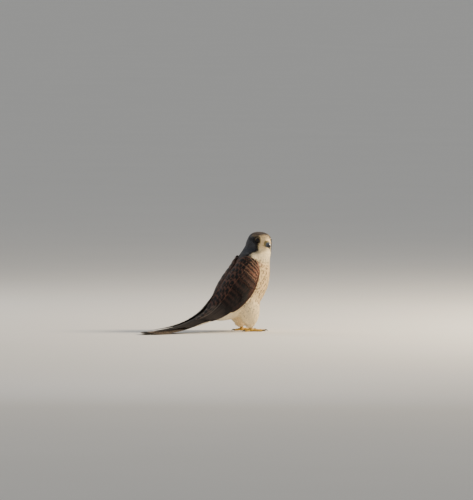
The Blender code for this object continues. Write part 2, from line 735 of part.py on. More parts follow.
def claw_mesh(name):
    """A curved claw that starts a gap beyond its toe and ends just above the floor."""
    path, radii, ahead = toe_path(name)
    start = path[-1] + ahead * GAP
    size = CLAW_LENGTH * (0.9 if name in ("outer",) else 1.0)
    spots, thick = [], []
    for i in range(7):
        t = i / 6
        bend = 1.35 * t
        spot = start + ahead * size * math.sin(bend) / 1.35
        rise = 0.9 * MM * math.sin(math.pi * min(t * 1.4, 1.0))
        drop = (start[2] - 0.75 * MM) * t**2.2
        spot = np.array([spot[0], spot[1], start[2] + rise - drop])
        spots.append(spot)
        thick.append(CLAW_RADIUS * (1 - t) ** 0.75 + 0.22 * MM)
    return tube(spots, thick, 8, ahead)


def build_foot(side, name):
    """Pad, toes, tarsus and claws of one foot; side is -1 for the right one."""

    def placed(mesh):
        points, faces = mesh
        return (mirrored(points) if side > 0 else points), faces

    pad = FOOT_SPOT + np.array([0.0, 0.0, 3.4 * MM])
    foot = mesh_object("foot_" + name, *placed(ball(pad, 4.3 * MM, (0, 0, 1), 10, 16)))
    for toe in TOES:
        path, radii, _ = toe_path(toe)
        combine(foot, mesh_object("toe", *placed(tube(path, radii, 8))), "UNION")
    floor_cut = box(FOOT_SPOT * (1, -side, 1), (120 * MM, 120 * MM, 20 * MM), below=0.0)
    combine(foot, mesh_object("cut", *floor_cut), "DIFFERENCE")
    top_cut = box(FOOT_SPOT * (1, -side, 1), (30 * MM, 30 * MM, 20 * MM), below=None)
    combine(foot, mesh_object("cut", *top_cut), "DIFFERENCE")
    keep_largest(foot)
    made = [foot]
    low = FOOT_SPOT + np.array([0, 0, TARSUS_BOTTOM + GAP])
    high = TROUSER_ROWS[0][:3] * (1, 1, 0) + np.array([0, 0, TROUSER_BOTTOM - GAP])
    path = [low + (high - low) * t for t in np.linspace(0, 1, 4)]
    rings = []
    for i, spot in enumerate(path):
        radius = TARSUS_RADIUS * (1.12, 1.0, 0.97, 1.05)[i]
        turns = [2 * math.pi * k / 14 for k in range(14)]
        rings.append(
            [spot + np.array([math.cos(t) * 1.12, math.sin(t), 0.0]) * radius for t in turns]
        )
    made.append(mesh_object("tarsus_" + name, *placed(closed_rings(rings))))
    for toe in TOES:
        made.append(mesh_object(f"claw_{toe}_{name}", *placed(claw_mesh(toe))))
    return made


def box(middle, size, below):
    """A box under the floor where below is 0, else one from the top of the foot up."""
    half = np.array(size) / 2
    z = -half[2] if below == 0.0 else TARSUS_BOTTOM + half[2]
    centre = np.array([middle[0], middle[1], z])
    points = []
    for i in range(8):
        sign = np.array([1 if i & 1 else -1, 1 if i & 2 else -1, 1 if i & 4 else -1])
        points.append(centre + half * sign)
    faces = [(0, 2, 3, 1), (4, 5, 7, 6), (0, 1, 5, 4), (2, 6, 7, 3), (0, 4, 6, 2), (1, 3, 7, 5)]
    return points, faces


def paint(things):
    """Gives every node its own material, in colours read off the photo."""
    looks = {
        "head": ((0.20, 0.17, 0.15), 0.8),
        "neck": ((0.33, 0.20, 0.12), 0.8),
        "torso": ((0.60, 0.46, 0.30), 0.85),
        "tail": ((0.22, 0.19, 0.16), 0.75),
        "wing": ((0.34, 0.17, 0.10), 0.75),
        "trouser": ((0.66, 0.52, 0.34), 0.85),
        "tarsus": ((0.62, 0.42, 0.07), 0.55),
        "foot": ((0.66, 0.44, 0.07), 0.55),
        "claw": ((0.012, 0.011, 0.011), 0.3),
        "eye": ((0.012, 0.008, 0.006), 0.08),
        "eyelid": ((0.62, 0.45, 0.10), 0.5),
        "cere": ((0.60, 0.43, 0.09), 0.45),
        "bill": ((0.06, 0.07, 0.085), 0.3),
    }
    for thing in things:
        colour, roughness = looks[thing.name.split("_")[0]]
        thing.data.materials.clear()
        thing.data.materials.append(material(thing.name + "_look", colour, roughness))
        thing.data.shade_smooth()
        thing.data.set_sharp_from_angle(angle=math.radians(40.0))
        thing.data.transform(Matrix.Translation(Vector(ORIGIN_SHIFT)))


def main():
    """Builds every node."""
    for thing in list(bpy.data.objects):
        bpy.data.objects.remove(thing)
    torso, neck, head = build_body()
    made = [torso, neck, head] + build_face(head)
    tail_mesh = loft(TAIL_RINGS, 0.0, len(TAIL_RINGS) - 1.0, 24, 28)
    made.append(join_all("tail", [tail_core()] + tail_vanes()))
    body_mesh = loft(BODY_RINGS, 0.0, len(BODY_RINGS) - 1.0, 60, 64)
    body_tree = surface_tree(*body_mesh)
    tail_tree = surface_tree(*tail_mesh)
    cloth = Cloth(wing_base, (body_tree, tail_tree), WING_RIDE, VANE_KEEP)
    pieces = [wing_core(cloth, body_tree)] + wing_vanes(cloth)
    made.append(join_all("wing_right", pieces))
    made.append(join_all("wing_left", [(mirrored(p), f) for p, f in pieces]))
    grown = [np.array(p) for p in body_mesh[0]]
    for side, name in ((-1, "right"), (1, "left")):
        trouser = mesh_object("trouser_" + name, *build_trouser(side))
        body_cut = mesh_object("cut", grown, body_mesh[1])
        shell = body_cut.modifiers.new("grow", "DISPLACE")
        shell.strength, shell.mid_level = GAP * 1.3, 0.0
        bpy.context.view_layer.objects.active = body_cut
        bpy.ops.object.modifier_apply(modifier=shell.name)
        combine(trouser, body_cut, "DIFFERENCE")
        keep_largest(trouser)
        made.append(trouser)
        made += build_foot(side, name)
    paint(made)


main()
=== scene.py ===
"""The looks of a life-size common kestrel, over its packed solids.

The bird stands on both feet with its wings folded and its head turned over the right shoulder.
All shapes are worked out in the source's own frame, whose origin is the floor between the feet,
and are moved by ORIGIN_SHIFT when a mesh is made.
"""

import json
import logging
import math
from collections.abc import Callable, Iterable
from dataclasses import dataclass, field
from enum import Enum
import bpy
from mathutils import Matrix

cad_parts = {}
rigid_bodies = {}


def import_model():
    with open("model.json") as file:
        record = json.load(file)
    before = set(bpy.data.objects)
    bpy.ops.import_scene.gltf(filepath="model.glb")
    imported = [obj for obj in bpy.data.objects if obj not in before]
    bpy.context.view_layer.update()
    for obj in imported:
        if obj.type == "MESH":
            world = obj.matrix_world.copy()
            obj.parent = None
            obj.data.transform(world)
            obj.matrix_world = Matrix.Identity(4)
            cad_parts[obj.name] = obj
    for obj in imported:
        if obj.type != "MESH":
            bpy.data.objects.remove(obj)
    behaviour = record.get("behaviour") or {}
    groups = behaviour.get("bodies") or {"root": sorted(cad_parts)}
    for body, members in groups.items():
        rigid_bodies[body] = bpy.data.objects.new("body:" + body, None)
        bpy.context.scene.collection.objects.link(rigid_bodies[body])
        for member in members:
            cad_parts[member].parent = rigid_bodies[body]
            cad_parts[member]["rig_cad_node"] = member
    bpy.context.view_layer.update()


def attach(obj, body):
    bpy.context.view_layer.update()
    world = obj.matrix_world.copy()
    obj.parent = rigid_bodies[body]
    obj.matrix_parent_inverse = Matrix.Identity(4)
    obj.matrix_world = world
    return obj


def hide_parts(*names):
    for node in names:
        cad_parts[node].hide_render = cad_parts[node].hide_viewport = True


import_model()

from types import SimpleNamespace

import bpy
import numpy as np
from mathutils import Vector
from mathutils.bvhtree import BVHTree
from mathutils.kdtree import KDTree

LOG = logging.getLogger("kestrel")

MM = 0.001
ORIGIN_SHIFT = np.array([82.6, 0.0, 0.0]) * MM
EYE_LEVEL = np.array([28.0, -6.0, 163.5]) * MM
HEAD_TURN = math.radians(-90.0)
HEAD_NOD = math.radians(12.0)
UP = np.array([0.0, 0.0, 1.0])


class Side(Enum):
    """A side of the bird: its sign on +Y and the ending of its nodes' names."""

    RIGHT = (-1.0, "right")
    LEFT = (1.0, "left")

    def __init__(self, sign: float, word: str) -> None:
        """Names the two parts of the value."""
        self.sign, self.word = sign, word


# ---------------------------------------------------------------- small helpers


def linear(code: str) -> np.ndarray:
    """Turns an sRGB hex colour to linear.

    Args:
        code: Six hex digits after a hash.

    Returns:
        Red, green and blue in linear light.
    """
    parts = np.array([int(code[i : i + 2], 16) for i in (1, 3, 5)]) / 255.0
    return np.where(parts <= 0.04045, parts / 12.92, ((parts + 0.055) / 1.055) ** 2.4)


def rgba(code: str) -> tuple[float, ...]:
    """Returns a hex colour as linear RGBA for a socket."""
    return (*[float(part) for part in linear(code)], 1.0)


def smooth(low: float, high: float, value: np.ndarray) -> np.ndarray:
    """Eases from 0 at low to 1 at high.

    Args:
        low: Where the result is 0.
        high: Where the result is 1; it may lie under low.
        value: The values to map.

    Returns:
        The eased values, between 0 and 1.
    """
    share = np.clip((np.asarray(value, float) - low) / (high - low), 0.0, 1.0)
    return share * share * (3.0 - 2.0 * share)


def mix(a: np.ndarray, b: np.ndarray, share: np.ndarray) -> np.ndarray:
    """Blends a towards b by one share, or by a share for each of their rows."""
    share = np.asarray(share, float)
    if max(np.ndim(a), np.ndim(b)) > share.ndim:
        share = share[..., None]
    return a + (b - a) * share


def unit(rows: np.ndarray) -> np.ndarray:
    """Returns rows scaled to length one."""
    return rows / np.maximum(np.linalg.norm(rows, axis=-1, keepdims=True), 1e-12)


def along(rows: np.ndarray, at: np.ndarray) -> np.ndarray:
    """Reads rows at broken row numbers by a smooth curve through them.

    Args:
        rows: The rows of numbers.
        at: Row numbers, of any shape.

    Returns:
        The numbers there, with one more axis than at.
    """
    at = np.asarray(at, float)
    last = len(rows) - 1
    i = np.clip(np.floor(at).astype(int), 0, last - 1)
    t = (at - i)[..., None]
    before, after = rows[np.maximum(i - 1, 0)], rows[np.minimum(i + 2, last)]
    a, b = rows[i], rows[i + 1]
    bend = (2 * before - 5 * a + 4 * b - after) * t * t
    return 0.5 * (2 * a + (b - before) * t + bend + (3 * a - before - 3 * b + after) * t**3)


def around(count: int) -> np.ndarray:
    """Returns evenly spaced angles, once round."""
    return np.arange(count) * 2 * math.pi / count


def crossed(rows: np.ndarray, columns: np.ndarray) -> tuple[np.ndarray, np.ndarray]:
    """Returns every pair of a row's and a column's value, as two grids."""
    return tuple(np.meshgrid(rows, columns, indexing="ij"))


def between(pair: tuple[float, float], share: np.ndarray) -> np.ndarray:
    """Returns the values at shares of the way from the pair's first to its second."""
    return pair[0] + (pair[1] - pair[0]) * share


def only(kept: np.ndarray, *parts: np.ndarray) -> tuple[np.ndarray, ...]:
    """Returns the kept rows of every array."""
    return tuple(rows[kept] for rows in parts)


def head_axes() -> tuple[np.ndarray, np.ndarray, np.ndarray]:
    """Returns forward, left and up of the turned head."""
    level = np.array([math.cos(HEAD_TURN), math.sin(HEAD_TURN), 0.0])
    forward = level * math.cos(HEAD_NOD) - UP * math.sin(HEAD_NOD)
    crown = level * math.sin(HEAD_NOD) + UP * math.cos(HEAD_NOD)
    return forward, np.cross(crown, forward), crown


HEAD_FORWARD, HEAD_LEFT, HEAD_UP = head_axes()


def in_head(forward: float, left: float, up: float) -> np.ndarray:
    """Returns a point given along the head's directions, in metres from the eyes' middle."""
    return EYE_LEVEL + HEAD_FORWARD * forward + HEAD_LEFT * left + HEAD_UP * up


def head_spot(points: np.ndarray) -> tuple[np.ndarray, ...]:
    """Returns how far ahead, left and up of the eyes' middle points lie, in mm."""
    return tuple((points - EYE_LEVEL) @ axis / MM for axis in (HEAD_FORWARD, HEAD_LEFT, HEAD_UP))


def mesh_piece(
    name: str,
    points: np.ndarray,
    faces: np.ndarray | list,
    maps: dict[str, np.ndarray] | None = None,
    facts: dict[str, np.ndarray] | None = None,
) -> bpy.types.Object:
    """Makes a smooth mesh object from arrays, in the packed frame.

    Args:
        name: The object's name.
        points: Points in the source's frame, one row each.
        faces: Corner numbers of each face.
        maps: UV maps by name, with a row for each point.
        facts: Point attributes by name, with one or three numbers for each point.

    Returns:
        The new object.
    """
    mesh = bpy.data.meshes.new(name)
    mesh.from_pydata((np.asarray(points) + ORIGIN_SHIFT).tolist(), [], [list(f) for f in faces])
    corners = read(mesh.loops, "vertex_index", 1, np.int32).ravel()
    for label, rows in (maps or {}).items():
        layer = mesh.uv_layers.new(name=label)
        layer.uv.foreach_set("vector", np.asarray(rows, np.float32)[corners].ravel())
    for label, rows in (facts or {}).items():
        rows = np.asarray(rows, np.float32)
        kind = "FLOAT" if rows.ndim == 1 else "FLOAT_VECTOR"
        layer = mesh.attributes.new(label, kind, "POINT")
        layer.data.foreach_set("value" if rows.ndim == 1 else "vector", rows.ravel())
    mesh.polygons.foreach_set("use_smooth", [True] * len(mesh.polygons))
    mesh.update()
    thing = bpy.data.objects.new(name, mesh)
    bpy.context.scene.collection.objects.link(thing)
    return thing


def read(items: bpy.types.bpy_prop_collection, key: str, width: int, kind: type = float) -> np.ndarray:
    """Reads a property of every item of a mesh.

    Args:
        items: The mesh's points, edges or corners.
        key: The property's name.
        width: How many numbers each item has.
        kind: Their type.

    Returns:
        One row for each item.
    """
    flat = np.empty(len(items) * width, kind)
    items.foreach_get(key, flat)
    return flat.reshape(-1, width)


def select_only(thing: bpy.types.Object) -> None:
    """Makes an object the only selected one and the active one."""
    bpy.ops.object.select_all(action="DESELECT")
    bpy.context.view_layer.objects.active = thing
    thing.select_set(True)


def finish_with(thing: bpy.types.Object, kind: str, **settings: object) -> None:
    """Adds a modifier with its settings and applies it.

    Args:
        thing: The object.
        kind: The modifier's type.
        **settings: Its properties.
    """
    step = thing.modifiers.new(kind.lower(), kind)
    for key, value in settings.items():
        setattr(step, key, value)
    select_only(thing)
    bpy.ops.object.modifier_apply(modifier=step.name)


def outward(thing: bpy.types.Object, merge: float = 1e-6) -> bpy.types.Object:
    """Merges doubles of a mesh and turns its faces outward.

    Args:
        thing: The object.
        merge: Points nearer than this become one.

    Returns:
        The object.
    """
    select_only(thing)
    bpy.ops.object.mode_set(mode="EDIT")
    bpy.ops.mesh.select_all(action="SELECT")
    bpy.ops.mesh.remove_doubles(threshold=merge)
    bpy.ops.mesh.normals_make_consistent(inside=False)
    bpy.ops.object.mode_set(mode="OBJECT")
    bpy.ops.object.shade_smooth()
    return thing


def primitive(operator: Callable[..., object], name: str, **settings: object) -> bpy.types.Object:
    """Adds one of Blender's own forms at the origin, under a name and alone selected.

    Args:
        operator: Adds the form.
        name: Name of the object and its mesh.
        **settings: The operator's settings.

    Returns:
        The new object.
    """
    bpy.ops.object.select_all(action="DESELECT")
    operator(**settings)
    thing = bpy.context.object
    thing.name = thing.data.name = name
    return thing


def seat(thing: bpy.types.Object, axis: np.ndarray, spot: np.ndarray) -> None:
    """Turns a mesh's Z to an axis and moves it to its place.

    Args:
        thing: The object.
        axis: The direction.
        spot: The place, in the packed frame.
    """
    thing.data.transform(Vector(axis).to_track_quat("Z", "Y").to_matrix().to_4x4())
    for vert in thing.data.vertices:
        vert.co += Vector(spot)


def placed(
    thing: bpy.types.Object, finish: bpy.types.Material, slot: str, *nodes: str
) -> bpy.types.Object:
    """Gives a piece its finish, parents it to the root body and hides the CAD nodes that it replaces.

    Args:
        thing: The piece.
        finish: Its material.
        slot: The record's material slot; not used.
        *nodes: CAD nodes that it replaces.

    Returns:
        The piece.
    """
    thing.data.materials.clear()
    thing.data.materials.append(finish)
    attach(thing, "root")
    if nodes:
        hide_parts(*nodes)
    LOG.info("%s: %d faces", thing.name, len(thing.data.polygons))
    return thing


def mirrored(points: np.ndarray) -> np.ndarray:
    """Returns points moved to the bird's other side."""
    return np.asarray(points) * np.array([1.0, -1.0, 1.0])


def flipped(tops: np.ndarray, outs: np.ndarray) -> tuple[np.ndarray, np.ndarray]:
    """Returns feathers' points and ways out on the bird's other side, still facing outward."""
    return mirrored(tops)[:, :, ::-1], mirrored(outs)[:, :, ::-1]


def closed_rings(rings: np.ndarray) -> tuple[np.ndarray, list[tuple[int, ...]]]:
    """Closes a tube through rings of points with a fan at each end.

    Args:
        rings: Points, as rings by sides by three.

    Returns:
        The points and the faces.
    """
    count, sides = rings.shape[:2]
    points = np.concatenate([rings.reshape(-1, 3), rings[0].mean(0)[None], rings[-1].mean(0)[None]])
    k = np.arange(sides)
    nxt = (k + 1) % sides
    faces: list[tuple[int, ...]] = []
    for i in range(count - 1):
        a, b = i * sides + k, i * sides + nxt
        faces += list(zip(a, b, b + sides, a + sides))
    first, last = count * sides, (count - 1) * sides
    faces += [(int(q), int(p), first) for p, q in zip(k, nxt)]
    faces += [(int(last + p), int(last + q), first + 1) for p, q in zip(k, nxt)]
    return points, faces


def tube_rings(
    path: np.ndarray,
    aside: np.ndarray,
    lift: np.ndarray,
    turn: np.ndarray,
    reach: np.ndarray,
    wide: float = 1.0,
    tall: float = 1.0,
) -> np.ndarray:
    """Sets rings of points round a path.

    Args:
        path: The middle of each ring.
        aside: The direction at angle 0, the same for all rings or one for each.
        lift: The direction a quarter turn on.
        turn: Angles of a ring's points.
        reach: Radii, as rings by points or rings by one.
        wide: Scales the reach aside.
        tall: Scales the reach up.

    Returns:
        The rings, for closed_rings.
    """
    aside, lift = (np.broadcast_to(way, path.shape)[:, None] for way in (aside, lift))
    rings = path[:, None] + aside * (np.cos(turn) * reach)[..., None] * wide
    return rings + lift * (np.sin(turn) * reach * tall)[..., None]


def run_map(share: np.ndarray, sides: int) -> dict[str, np.ndarray]:
    """Returns the UV map of how far along a closed tube each of its points is."""
    run = np.concatenate([np.repeat(share, sides), [0.0, 1.0]])
    return {"run": np.column_stack([run * 0, run])}


def finder_over(spots: np.ndarray) -> KDTree:
    """Makes a search for the nearest of some spots.

    Args:
        spots: The spots, one row each.

    Returns:
        The search, which gives the number of the row.
    """
    finder = KDTree(len(spots))
    for i, spot in enumerate(spots):
        finder.insert(spot, i)
    finder.balance()
    return finder


def nearest(finder: KDTree, points: np.ndarray) -> np.ndarray:
    """Returns the numbers of the spots nearest to some points."""
    return np.array([finder.find(spot)[1] for spot in points])


def tree_of(points: np.ndarray, faces: list) -> BVHTree:
    """Returns a search tree over a form's faces."""
    return BVHTree.FromPolygons([Vector(p) for p in points], [tuple(int(i) for i in f) for f in faces])


def tree_over(things: Iterable[bpy.types.Object]) -> BVHTree:
    """Makes a search tree over the faces of objects.

    Args:
        things: The objects, in the packed frame.

    Returns:
        The tree, in the source's own frame.
    """
    points, faces = np.empty((0, 3)), []
    for thing in things:
        faces += [[len(points) + i for i in p.vertices] for p in thing.data.polygons]
        points = np.concatenate([points, read(thing.data.vertices, "co", 3) - ORIGIN_SHIFT])
    return tree_of(points, faces)


def struck(tree: BVHTree, spot: np.ndarray, way: np.ndarray, reach: float) -> float | None:
    """Returns how far along a way from a spot a surface lies, or None."""
    return tree.ray_cast(Vector(spot), Vector(way), reach)[3]


# ---------------------------------------------------------------- finishes

EASED = {"interpolation_type": "SMOOTHSTEP"}
BLENDED = {"data_type": "RGBA", "out": 2}  # takes the share at input 0, the colours at 6 and 7
SHADED = {**BLENDED, "blend_type": "MULTIPLY"}


@dataclass
class Wiring:
    """The nodes of one new material, round its Principled shader."""

    name: str
    made: bpy.types.Material = field(init=False)

    def __post_init__(self) -> None:
        """Makes the material."""
        self.made = bpy.data.materials.new(self.name)
        self.made.use_nodes = True

    def fill(self, socket: bpy.types.NodeSocket, value: object) -> None:
        """Links an output to a socket, or sets the socket to a plain value."""
        if isinstance(value, bpy.types.NodeSocket):
            self.made.node_tree.links.new(value, socket)
        else:
            socket.default_value = value

    def add(self, kind: str, *values: object, out: int | str = 0, **settings: object) -> bpy.types.NodeSocket:
        """Adds a node with its settings, and its inputs as values or links.

        Args:
            kind: The node's type, without "ShaderNode".
            *values: Its inputs in order, or a dict of them by number or name.
            out: The output to return.
            **settings: Properties of the node.

        Returns:
            One output of the new node.
        """
        node = self.made.node_tree.nodes.new("ShaderNode" + kind)
        for key, value in settings.items():
            setattr(node, key, value)
        for number, value in enumerate(values):
            for key, part in (value if isinstance(value, dict) else {number: value}).items():
                self.fill(node.inputs[key], part)
        return node.outputs[out]

    def finished(self, inputs: dict[str, object]) -> bpy.types.Material:
        """Fills the shader's inputs by name and returns the material."""
        shader = self.made.node_tree.nodes["Principled BSDF"]
        for key, value in inputs.items():
            self.fill(shader.inputs[key], value)
        return self.made


@dataclass(frozen=True)
class Plumage:
    """Feather vane of matt keratin: barbs that show as fine slanting lines, no shine.

    Every feather brings its own colours and marks as attributes, so one finish serves all.
    Real barbs stand 0.2 to 0.4 mm apart; barb_mm is coarser, so that they show in the render.
    """

    name: str = "feather_keratin"
    barb_mm: float = 0.42
    barb_slant: float = 1.15
    shaft_mm: float = 0.16
    uneven_mm: float = 2.4  # how far marks stray along the feather
    uneven_per_m: float = 330.0
    bar_edge_mm: float = 0.35
    band_edge_mm: float = 0.4
    rim_edge_mm: float = 0.3
    streak_from: float = 0.12  # half width at the root and near the tip, as shares
    streak_to: float = 0.62
    tone_spread: float = 0.22  # lightness from one feather to the next
    relief: float = 0.22
    relief_mm: float = 0.06

    def build(self) -> bpy.types.Material:
        """Returns the material."""
        w = Wiring(self.name)
        ground, mark, fringe, size, marks, bars, cap, chance = (
            w.add("Attribute", attribute_name=label, out=kind)
            for label, kind in (
                ("ground", "Color"), ("mark", "Color"), ("fringe", "Color"), ("size", "Vector"),
                ("marks", "Vector"), ("bars", "Vector"), ("cap", "Vector"), ("chance", "Fac"),
            )
        )
        vane = w.add("UVMap", uv_map="vane")
        across, share = (w.add("SeparateXYZ", vane, out=i) for i in range(2))
        (
            (length, half, spacing), (bar_by, streak_by, fringe_by),
            (first, bar_half, bend), (pale, dark, soft),
        ) = ([w.add("SeparateXYZ", rows, out=i) for i in range(3)] for rows in (size, marks, bars, cap))
        aside = w.add("Math", across, operation="ABSOLUTE")
        place = w.add("TexCoord", out="Object")

        # Distance from the tip in mm, with the marks bent round the shaft and a little uneven.
        noise = {0: place, "Scale": self.uneven_per_m, "Detail": 2.0}
        uneven = w.add("TexNoise", noise, noise_dimensions="3D")
        uneven = w.add("Math", uneven, self.uneven_mm, -self.uneven_mm / 2, operation="MULTIPLY_ADD")
        from_tip = w.add("Math", 1.0, share, operation="SUBTRACT")
        from_tip = w.add("Math", from_tip, length, operation="MULTIPLY")
        curved = w.add("Math", aside, 1.6, operation="POWER")
        curved = w.add("Math", curved, bend, from_tip, operation="MULTIPLY_ADD")
        shaken = w.add("Math", curved, uneven, operation="ADD")

        # Bars that repeat up the feather.
        start = w.add("Math", shaken, first, operation="SUBTRACT")
        period = w.add("Math", spacing, 0.5, operation="MULTIPLY")
        off = w.add("Math", start, period, operation="PINGPONG")
        off = w.add("Math", off, bar_half, operation="SUBTRACT")
        bar = w.add("MapRange", off, self.bar_edge_mm, -self.bar_edge_mm, **EASED)
        bar = w.add("Math", bar, bar_by, operation="MULTIPLY")

        # A dark streak down the shaft that swells towards the tip.
        swell = w.add("MapRange", share, 0.25, 0.78, self.streak_from, self.streak_to, **EASED)
        inside = w.add("Math", aside, swell, operation="SUBTRACT")
        streak = w.add("MapRange", inside, 0.1, -0.1, **EASED)
        ended = w.add("MapRange", share, 0.97, 0.86, **EASED)
        for part in (ended, streak_by):
            streak = w.add("Math", streak, part, operation="MULTIPLY")

        # A broad dark band behind a pale tip, as the tail has.
        edges = []
        for above, below in ((shaken, pale), (dark, shaken)):
            edge = w.add("Math", above, below, operation="SUBTRACT")
            edges.append(w.add("MapRange", edge, -self.band_edge_mm, self.band_edge_mm, **EASED))
        band = w.add("Math", *edges, operation="MULTIPLY")

        # All that is dark, and the pale rim, which takes in three quarters of a pale tip.
        dark_part = bar
        for part in (streak, band):
            dark_part = w.add("Math", dark_part, part, operation="MAXIMUM")
        edge = w.add("Math", aside, half, operation="MULTIPLY")
        edge = w.add("Math", half, edge, operation="SUBTRACT")
        tipped = w.add("Math", pale, 0.0, operation="MAXIMUM")
        tipped = w.add("Math", tipped, -0.75, from_tip, operation="MULTIPLY_ADD")
        edge = w.add("Math", edge, tipped, operation="MINIMUM")
        rim = w.add("Math", edge, soft, operation="SUBTRACT")
        rim = w.add("MapRange", rim, self.rim_edge_mm, -self.rim_edge_mm, **EASED)
        rim = w.add("Math", rim, fringe_by, operation="MULTIPLY")

        # Barbs slant from the shaft to the tip; a few part from their neighbours, and those splits are
        # darkened with painted shade.
        slant = w.add("Math", aside, half, operation="MULTIPLY")
        slant = w.add("Math", slant, self.barb_slant, from_tip, operation="MULTIPLY_ADD")
        apart = w.add("Math", chance, 37.0, slant, operation="MULTIPLY_ADD")
        barb = w.add("Math", apart, 2 * math.pi / self.barb_mm, operation="MULTIPLY")
        barb = w.add("Math", barb, operation="SINE")
        split = w.add("TexNoise", {"W": apart, "Scale": 0.9, "Detail": 3.0}, noise_dimensions="1D")
        split = w.add("MapRange", split, 0.40, 0.33, **EASED)
        shaft = w.add("Math", aside, half, operation="MULTIPLY")
        shaft = w.add("MapRange", shaft, self.shaft_mm * 1.6, self.shaft_mm * 0.6)

        shade = w.add("Mix", {0: dark_part, 6: ground, 7: mark}, **BLENDED)
        shade = w.add("Mix", {0: rim, 6: shade, 7: fringe}, **BLENDED)
        lined = w.add("Math", chance, self.tone_spread, 1 - self.tone_spread / 2, operation="MULTIPLY_ADD")
        # The split's negative weight is painted shade in the gaps between barbs.
        for line, weight in ((barb, 0.035), (split, -0.2), (shaft, -0.18)):
            lined = w.add("Math", line, weight, lined, operation="MULTIPLY_ADD")
        shade = w.add("Mix", {0: 1.0, 6: shade, 7: lined}, **SHADED)
        raised = barb
        for line, weight in ((split, -1.6), (shaft, 2.5)):
            raised = w.add("Math", line, weight, raised, operation="MULTIPLY_ADD")
        bump = w.add("Bump", {"Height": raised, "Strength": self.relief, "Distance": self.relief_mm * MM})
        return w.finished({
            "Base Color": shade, "Normal": bump, "Roughness": 0.72, "Specular IOR Level": 0.22,
            "Sheen Weight": 0.05, "Sheen Roughness": 0.5,
        })


@dataclass(frozen=True)
class UnderDown:
    """Matt down over the skin, seen only between feathers: the same markings, softened."""

    name: str = "under_down"
    grain_mm: float = 0.9
    spots_per_m: float = 190.0

    def build(self) -> bpy.types.Material:
        """Returns the material."""
        w = Wiring(self.name)
        ground, mark, marks = (
            w.add("Attribute", attribute_name=label, out=kind)
            for label, kind in (("ground", "Color"), ("mark", "Color"), ("marks", "Vector"))
        )
        strength = w.add("SeparateXYZ", marks)
        place = w.add("TexCoord", out="Object")
        fluff = w.add("TexNoise", {0: place, "Scale": 1 / (self.grain_mm * MM), "Detail": 4.0})
        spots = w.add("TexNoise", {0: place, "Scale": self.spots_per_m, "Detail": 2.0})
        spots = w.add("MapRange", spots, 0.5, 0.6, **EASED)
        share = w.add("Math", spots, strength, operation="MULTIPLY")
        shade = w.add("Mix", {0: share, 6: ground, 7: mark}, **BLENDED)
        grey = w.add("MapRange", {0: fluff, 3: 0.55, 4: 0.95})
        shade = w.add("Mix", {0: 1.0, 6: shade, 7: grey}, **SHADED)
        bump = w.add("Bump", {"Height": fluff, "Strength": 0.6, "Distance": 0.4 * MM})
        return w.finished({"Base Color": shade, "Normal": bump, "Roughness": 0.9, "Specular IOR Level": 0.2})


@dataclass(frozen=True)
class BareSkin:
    """Waxy yellow skin of cere, eye ring and feet: soft gloss over a fine pebbled grain."""

    name: str
    colour: str
    deep: str
    grain_mm: float
    relief_mm: float
    roughness: float = 0.42
    blotches_per_m: float = 420.0

    def build(self) -> bpy.types.Material:
        """Returns the material."""
        w = Wiring(self.name)
        place = w.add("TexCoord", out="Object")
        grain = {0: place, "Scale": 1 / (self.grain_mm * MM)}
        cells = w.add("TexVoronoi", grain, feature="DISTANCE_TO_EDGE")
        seam = w.add("MapRange", cells, 0.0, 0.16, **EASED)
        blotch = w.add("TexNoise", {0: place, "Scale": self.blotches_per_m, "Detail": 3.0})
        tone = w.add("MapRange", blotch, 0.3, 0.7)
        base = w.add("Mix", {0: tone, 6: rgba(self.deep), 7: rgba(self.colour)}, **BLENDED)
        inner = w.add("MapRange", {0: seam, 3: 0.62, 4: 1.0})
        base = w.add("Mix", {0: 1.0, 6: base, 7: inner}, **SHADED)
        bump = w.add("Bump", {"Height": seam, "Strength": 0.8, "Distance": self.relief_mm * MM})
        rough = w.add("MapRange", {0: blotch, 3: self.roughness - 0.08, 4: self.roughness + 0.12})
        return w.finished({
            "Base Color": base, "Normal": bump, "Roughness": rough, "Subsurface Weight": 0.08,
            "Subsurface Radius": (0.001, 0.0006, 0.0003),
        })


@dataclass(frozen=True)
class Horn:
    """Polished horn of bill and claws: a dark tip, growth lines along it and a clear gloss."""

    name: str
    base: str
    tip: str
    turn_from: float
    turn_to: float
    line_mm: float = 0.7
    roughness: float = 0.26
    clouds_per_m: float = 520.0

    def build(self) -> bpy.types.Material:
        """Returns the material, which reads how far along the horn a point is from its UV map."""
        w = Wiring(self.name)
        run = w.add("UVMap", uv_map="run")
        along_it = w.add("SeparateXYZ", run, out=1)
        place = w.add("TexCoord", out="Object")
        cloud = w.add("TexNoise", {0: place, "Scale": self.clouds_per_m, "Detail": 3.0})
        shift = w.add("Math", cloud, 0.24, -0.12, operation="MULTIPLY_ADD")
        spot = w.add("Math", along_it, shift, operation="ADD")
        turn = w.add("MapRange", spot, self.turn_from, self.turn_to, **EASED)
        shade = w.add("Mix", {0: turn, 6: rgba(self.base), 7: rgba(self.tip)}, **BLENDED)
        tone = w.add("MapRange", cloud, 0.3, 0.7, 0.82, 1.12)
        shade = w.add("Mix", {0: 1.0, 6: shade, 7: tone}, **SHADED)
        growth = {0: place, "Scale": 1 / (self.line_mm * MM), "Detail": 2.0, "Distortion": 1.2}
        bump = {"Height": w.add("TexNoise", growth), "Strength": 0.18, "Distance": 0.05 * MM}
        return w.finished({
            "Base Color": shade, "Normal": w.add("Bump", bump), "Roughness": self.roughness,
            "Coat Weight": 0.35, "Coat Roughness": 0.12,
        })


